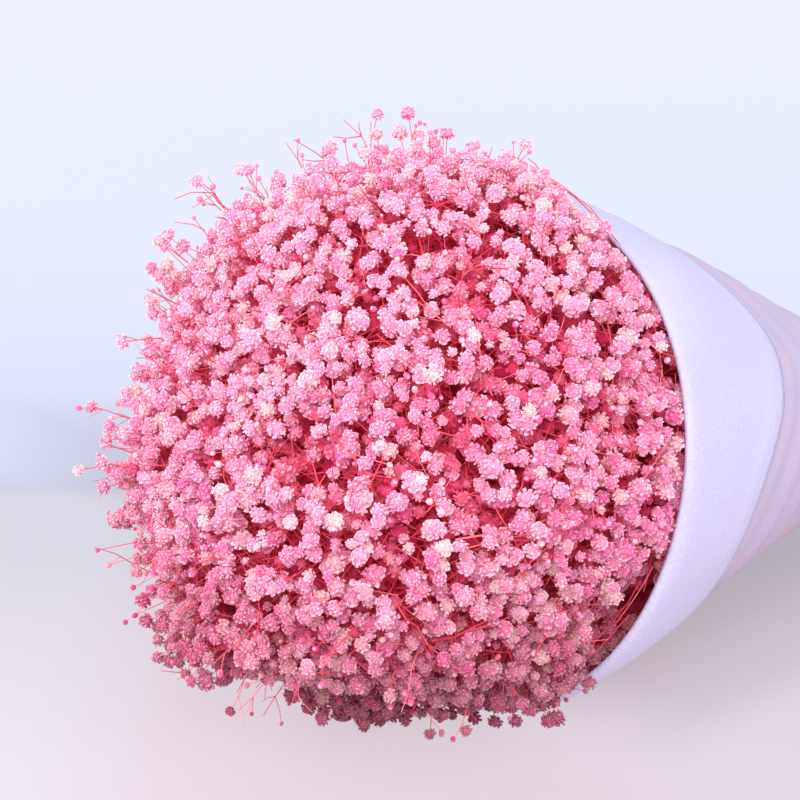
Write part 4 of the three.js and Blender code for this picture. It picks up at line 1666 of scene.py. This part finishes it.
def make_tie():
    material = cord_material()
    deselect_all()
    turns = []
    for turn in range(TIE_TURNS):
        bpy.ops.mesh.primitive_torus_add(
            major_segments=120,
            minor_segments=10,
            major_radius=TIE_RADIUS,
            minor_radius=CORD_RADIUS,
        )
        ring = bpy.context.active_object
        for vertex in ring.data.vertices:
            around = math.atan2(vertex.co.y, vertex.co.x)
            flat = Vector((vertex.co.x, vertex.co.y, 0))
            middle = flat.normalized() * TIE_RADIUS
            across = vertex.co - middle
            side = math.atan2(across.z, flat.length - middle.length)
            twist = 1 + 0.16 * math.cos(TIE_STRANDS * side + 34 * around)
            place = middle + across * twist
            x = NECK_AT + (turn - 1) * TIE_PITCH + place.z
            vertex.co = lay((x, place.y, -place.x))
        turns.append(ring)
    deselect_all()
    for ring in turns:
        ring.select_set(True)
    bpy.context.view_layer.objects.active = turns[0]
    bpy.ops.object.join()
    tie = turns[0]
    tie.name = "cord_tie"
    tie.data.name = tie.name
    faced_outward(60)
    tie.data.materials.clear()
    tie.data.materials.append(material)
    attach(tie, "root")
    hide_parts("tie")


# Stage

TARGET = Vector((-0.0288, 0.0, 0.150))
FLOOR_SIZE = 14
SENSOR_WIDTH = 36.0
SKY_COLOUR = (0.93, 0.95, 1.0, 1.0)
# Name, place, what it shines at, size and colour of each lamp.
LIGHTS = (
    ("key", (-1.15, -0.75, 1.1), (-0.05, 0, 0.1), 1.1, (1.0, 0.98, 0.97)),
    ("fill", (0.1, -1.5, 0.8), (0, 0, 0.1), 1.4, (0.96, 0.97, 1.0)),
    ("back", (-1.0, 1.0, 0.8), (-0.05, 0, 0.1), 0.9, (1.0, 0.98, 1.0)),
)


def view_back(azimuth, elevation):
    """The way from the target back to a camera at these angles."""
    level = math.cos(elevation)
    return Vector((math.sin(azimuth) * level, -math.cos(azimuth) * level, math.sin(elevation)))


def add_light(name, place, target, size, power, colour):
    light = bpy.data.lights.new(name, "AREA")
    light.shape = "DISK"
    light.size = size
    light.energy = power
    light.color = colour
    lamp = linked(name, light)
    lamp.location = place
    lamp.rotation_euler = (Vector(place) - Vector(target)).to_track_quat("Z", "Y").to_euler()


def make_stage(settings):
    scene = bpy.context.scene
    deselect_all()
    bpy.ops.mesh.primitive_plane_add(size=FLOOR_SIZE, location=(0, 0, 0))
    floor = bpy.context.active_object
    floor.name = "floor"
    floor.data.materials.append(floor_material(settings))
    floor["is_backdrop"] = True

    camera_data = bpy.data.cameras.new("camera")
    camera_data.lens = settings.lens
    camera_data.sensor_width = SENSOR_WIDTH
    camera = linked("camera", camera_data)
    back = view_back(settings.azimuth, settings.elevation)
    camera.location = TARGET + back * settings.distance
    camera.rotation_euler = back.to_track_quat("Z", "Y").to_euler()
    scene.camera = camera

    for name, place, target, size, colour in LIGHTS:
        add_light(name, place, target, size, getattr(settings, f"{name}_power"), colour)
    world = bpy.data.worlds.new("soft studio light")
    world.use_nodes = True
    sky = world.node_tree.nodes["Background"]
    sky.inputs["Color"].default_value = SKY_COLOUR
    sky.inputs["Strength"].default_value = settings.sky
    scene.world = world
    scene.view_settings.view_transform = "Standard"


# Operators


class BUNCH_OT_heads(bpy.types.Operator):
    """Make the blossoms, twigs and inner tangle of every spray"""

    bl_idname = "bunch.heads"
    bl_label = "Make flower heads"

    def execute(self, context):
        make_heads(context.scene.bunch_flowers)
        return {"FINISHED"}


class BUNCH_OT_stems(bpy.types.Operator):
    """Make the main stem of every spray"""

    bl_idname = "bunch.stems"
    bl_label = "Make stems"

    def execute(self, context):
        make_stems(context.scene.bunch_stems)
        return {"FINISHED"}


class BUNCH_OT_sleeve(bpy.types.Operator):
    """Make the paper sleeve with its turned-back collar"""

    bl_idname = "bunch.sleeve"
    bl_label = "Make sleeve"

    def execute(self, context):
        make_sleeve(context.scene.bunch_sleeve)
        return {"FINISHED"}


class BUNCH_OT_tie(bpy.types.Operator):
    """Make the cord that ties the neck"""

    bl_idname = "bunch.tie"
    bl_label = "Make tie"

    def execute(self, context):
        make_tie()
        return {"FINISHED"}


class BUNCH_OT_stage(bpy.types.Operator):
    """Make the floor, the lights and the camera"""

    bl_idname = "bunch.stage"
    bl_label = "Make stage"

    def execute(self, context):
        make_stage(context.scene.bunch_stage)
        return {"FINISHED"}


# Each operator with settings, and where the scene keeps them.
PANEL_ROWS = (
    ("bunch.heads", "bunch_flowers"),
    ("bunch.stems", "bunch_stems"),
    ("bunch.sleeve", "bunch_sleeve"),
    ("bunch.stage", "bunch_stage"),
)


class BUNCH_PT_panel(bpy.types.Panel):
    """Lists the pieces of the bunch with their settings"""

    bl_idname = "BUNCH_PT_panel"
    bl_label = "Dried flower bunch"
    bl_space_type = "VIEW_3D"
    bl_region_type = "UI"
    bl_category = "Bunch"

    def draw(self, context):
        for operator, kept in PANEL_ROWS:
            settings = getattr(context.scene, kept)
            box = self.layout.box()
            box.operator(operator)
            for name in settings.__annotations__:
                box.prop(settings, name)
        self.layout.operator("bunch.tie")


SETTINGS = {
    "bunch_flowers": BunchFlowerSettings,
    "bunch_stems": BunchStemSettings,
    "bunch_sleeve": BunchSleeveSettings,
    "bunch_stage": BunchStageSettings,
}
CLASSES = (
    *SETTINGS.values(),
    BUNCH_OT_heads,
    BUNCH_OT_stems,
    BUNCH_OT_sleeve,
    BUNCH_OT_tie,
    BUNCH_OT_stage,
    BUNCH_PT_panel,
)


def register():
    for item in CLASSES:
        bpy.utils.register_class(item)
    for name, group in SETTINGS.items():
        setattr(bpy.types.Scene, name, PointerProperty(type=group))


def unregister():
    for name in SETTINGS:
        delattr(bpy.types.Scene, name)
    for item in reversed(CLASSES):
        bpy.utils.unregister_class(item)


def write_sizes():
    """The box of the solids and the box of the finished pieces, as plain lists of numbers."""
    boxes = {"cad": CAD_BOX, "visual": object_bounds()}
    plain = {name: [[float(v) for v in corner] for corner in box] for name, box in boxes.items()}


def main():
    register()
    bpy.ops.bunch.heads()
    bpy.ops.bunch.stems()
    bpy.ops.bunch.sleeve()
    bpy.ops.bunch.tie()
    bpy.ops.bunch.stage()
    write_sizes()


if __name__ == "__main__":
    main()
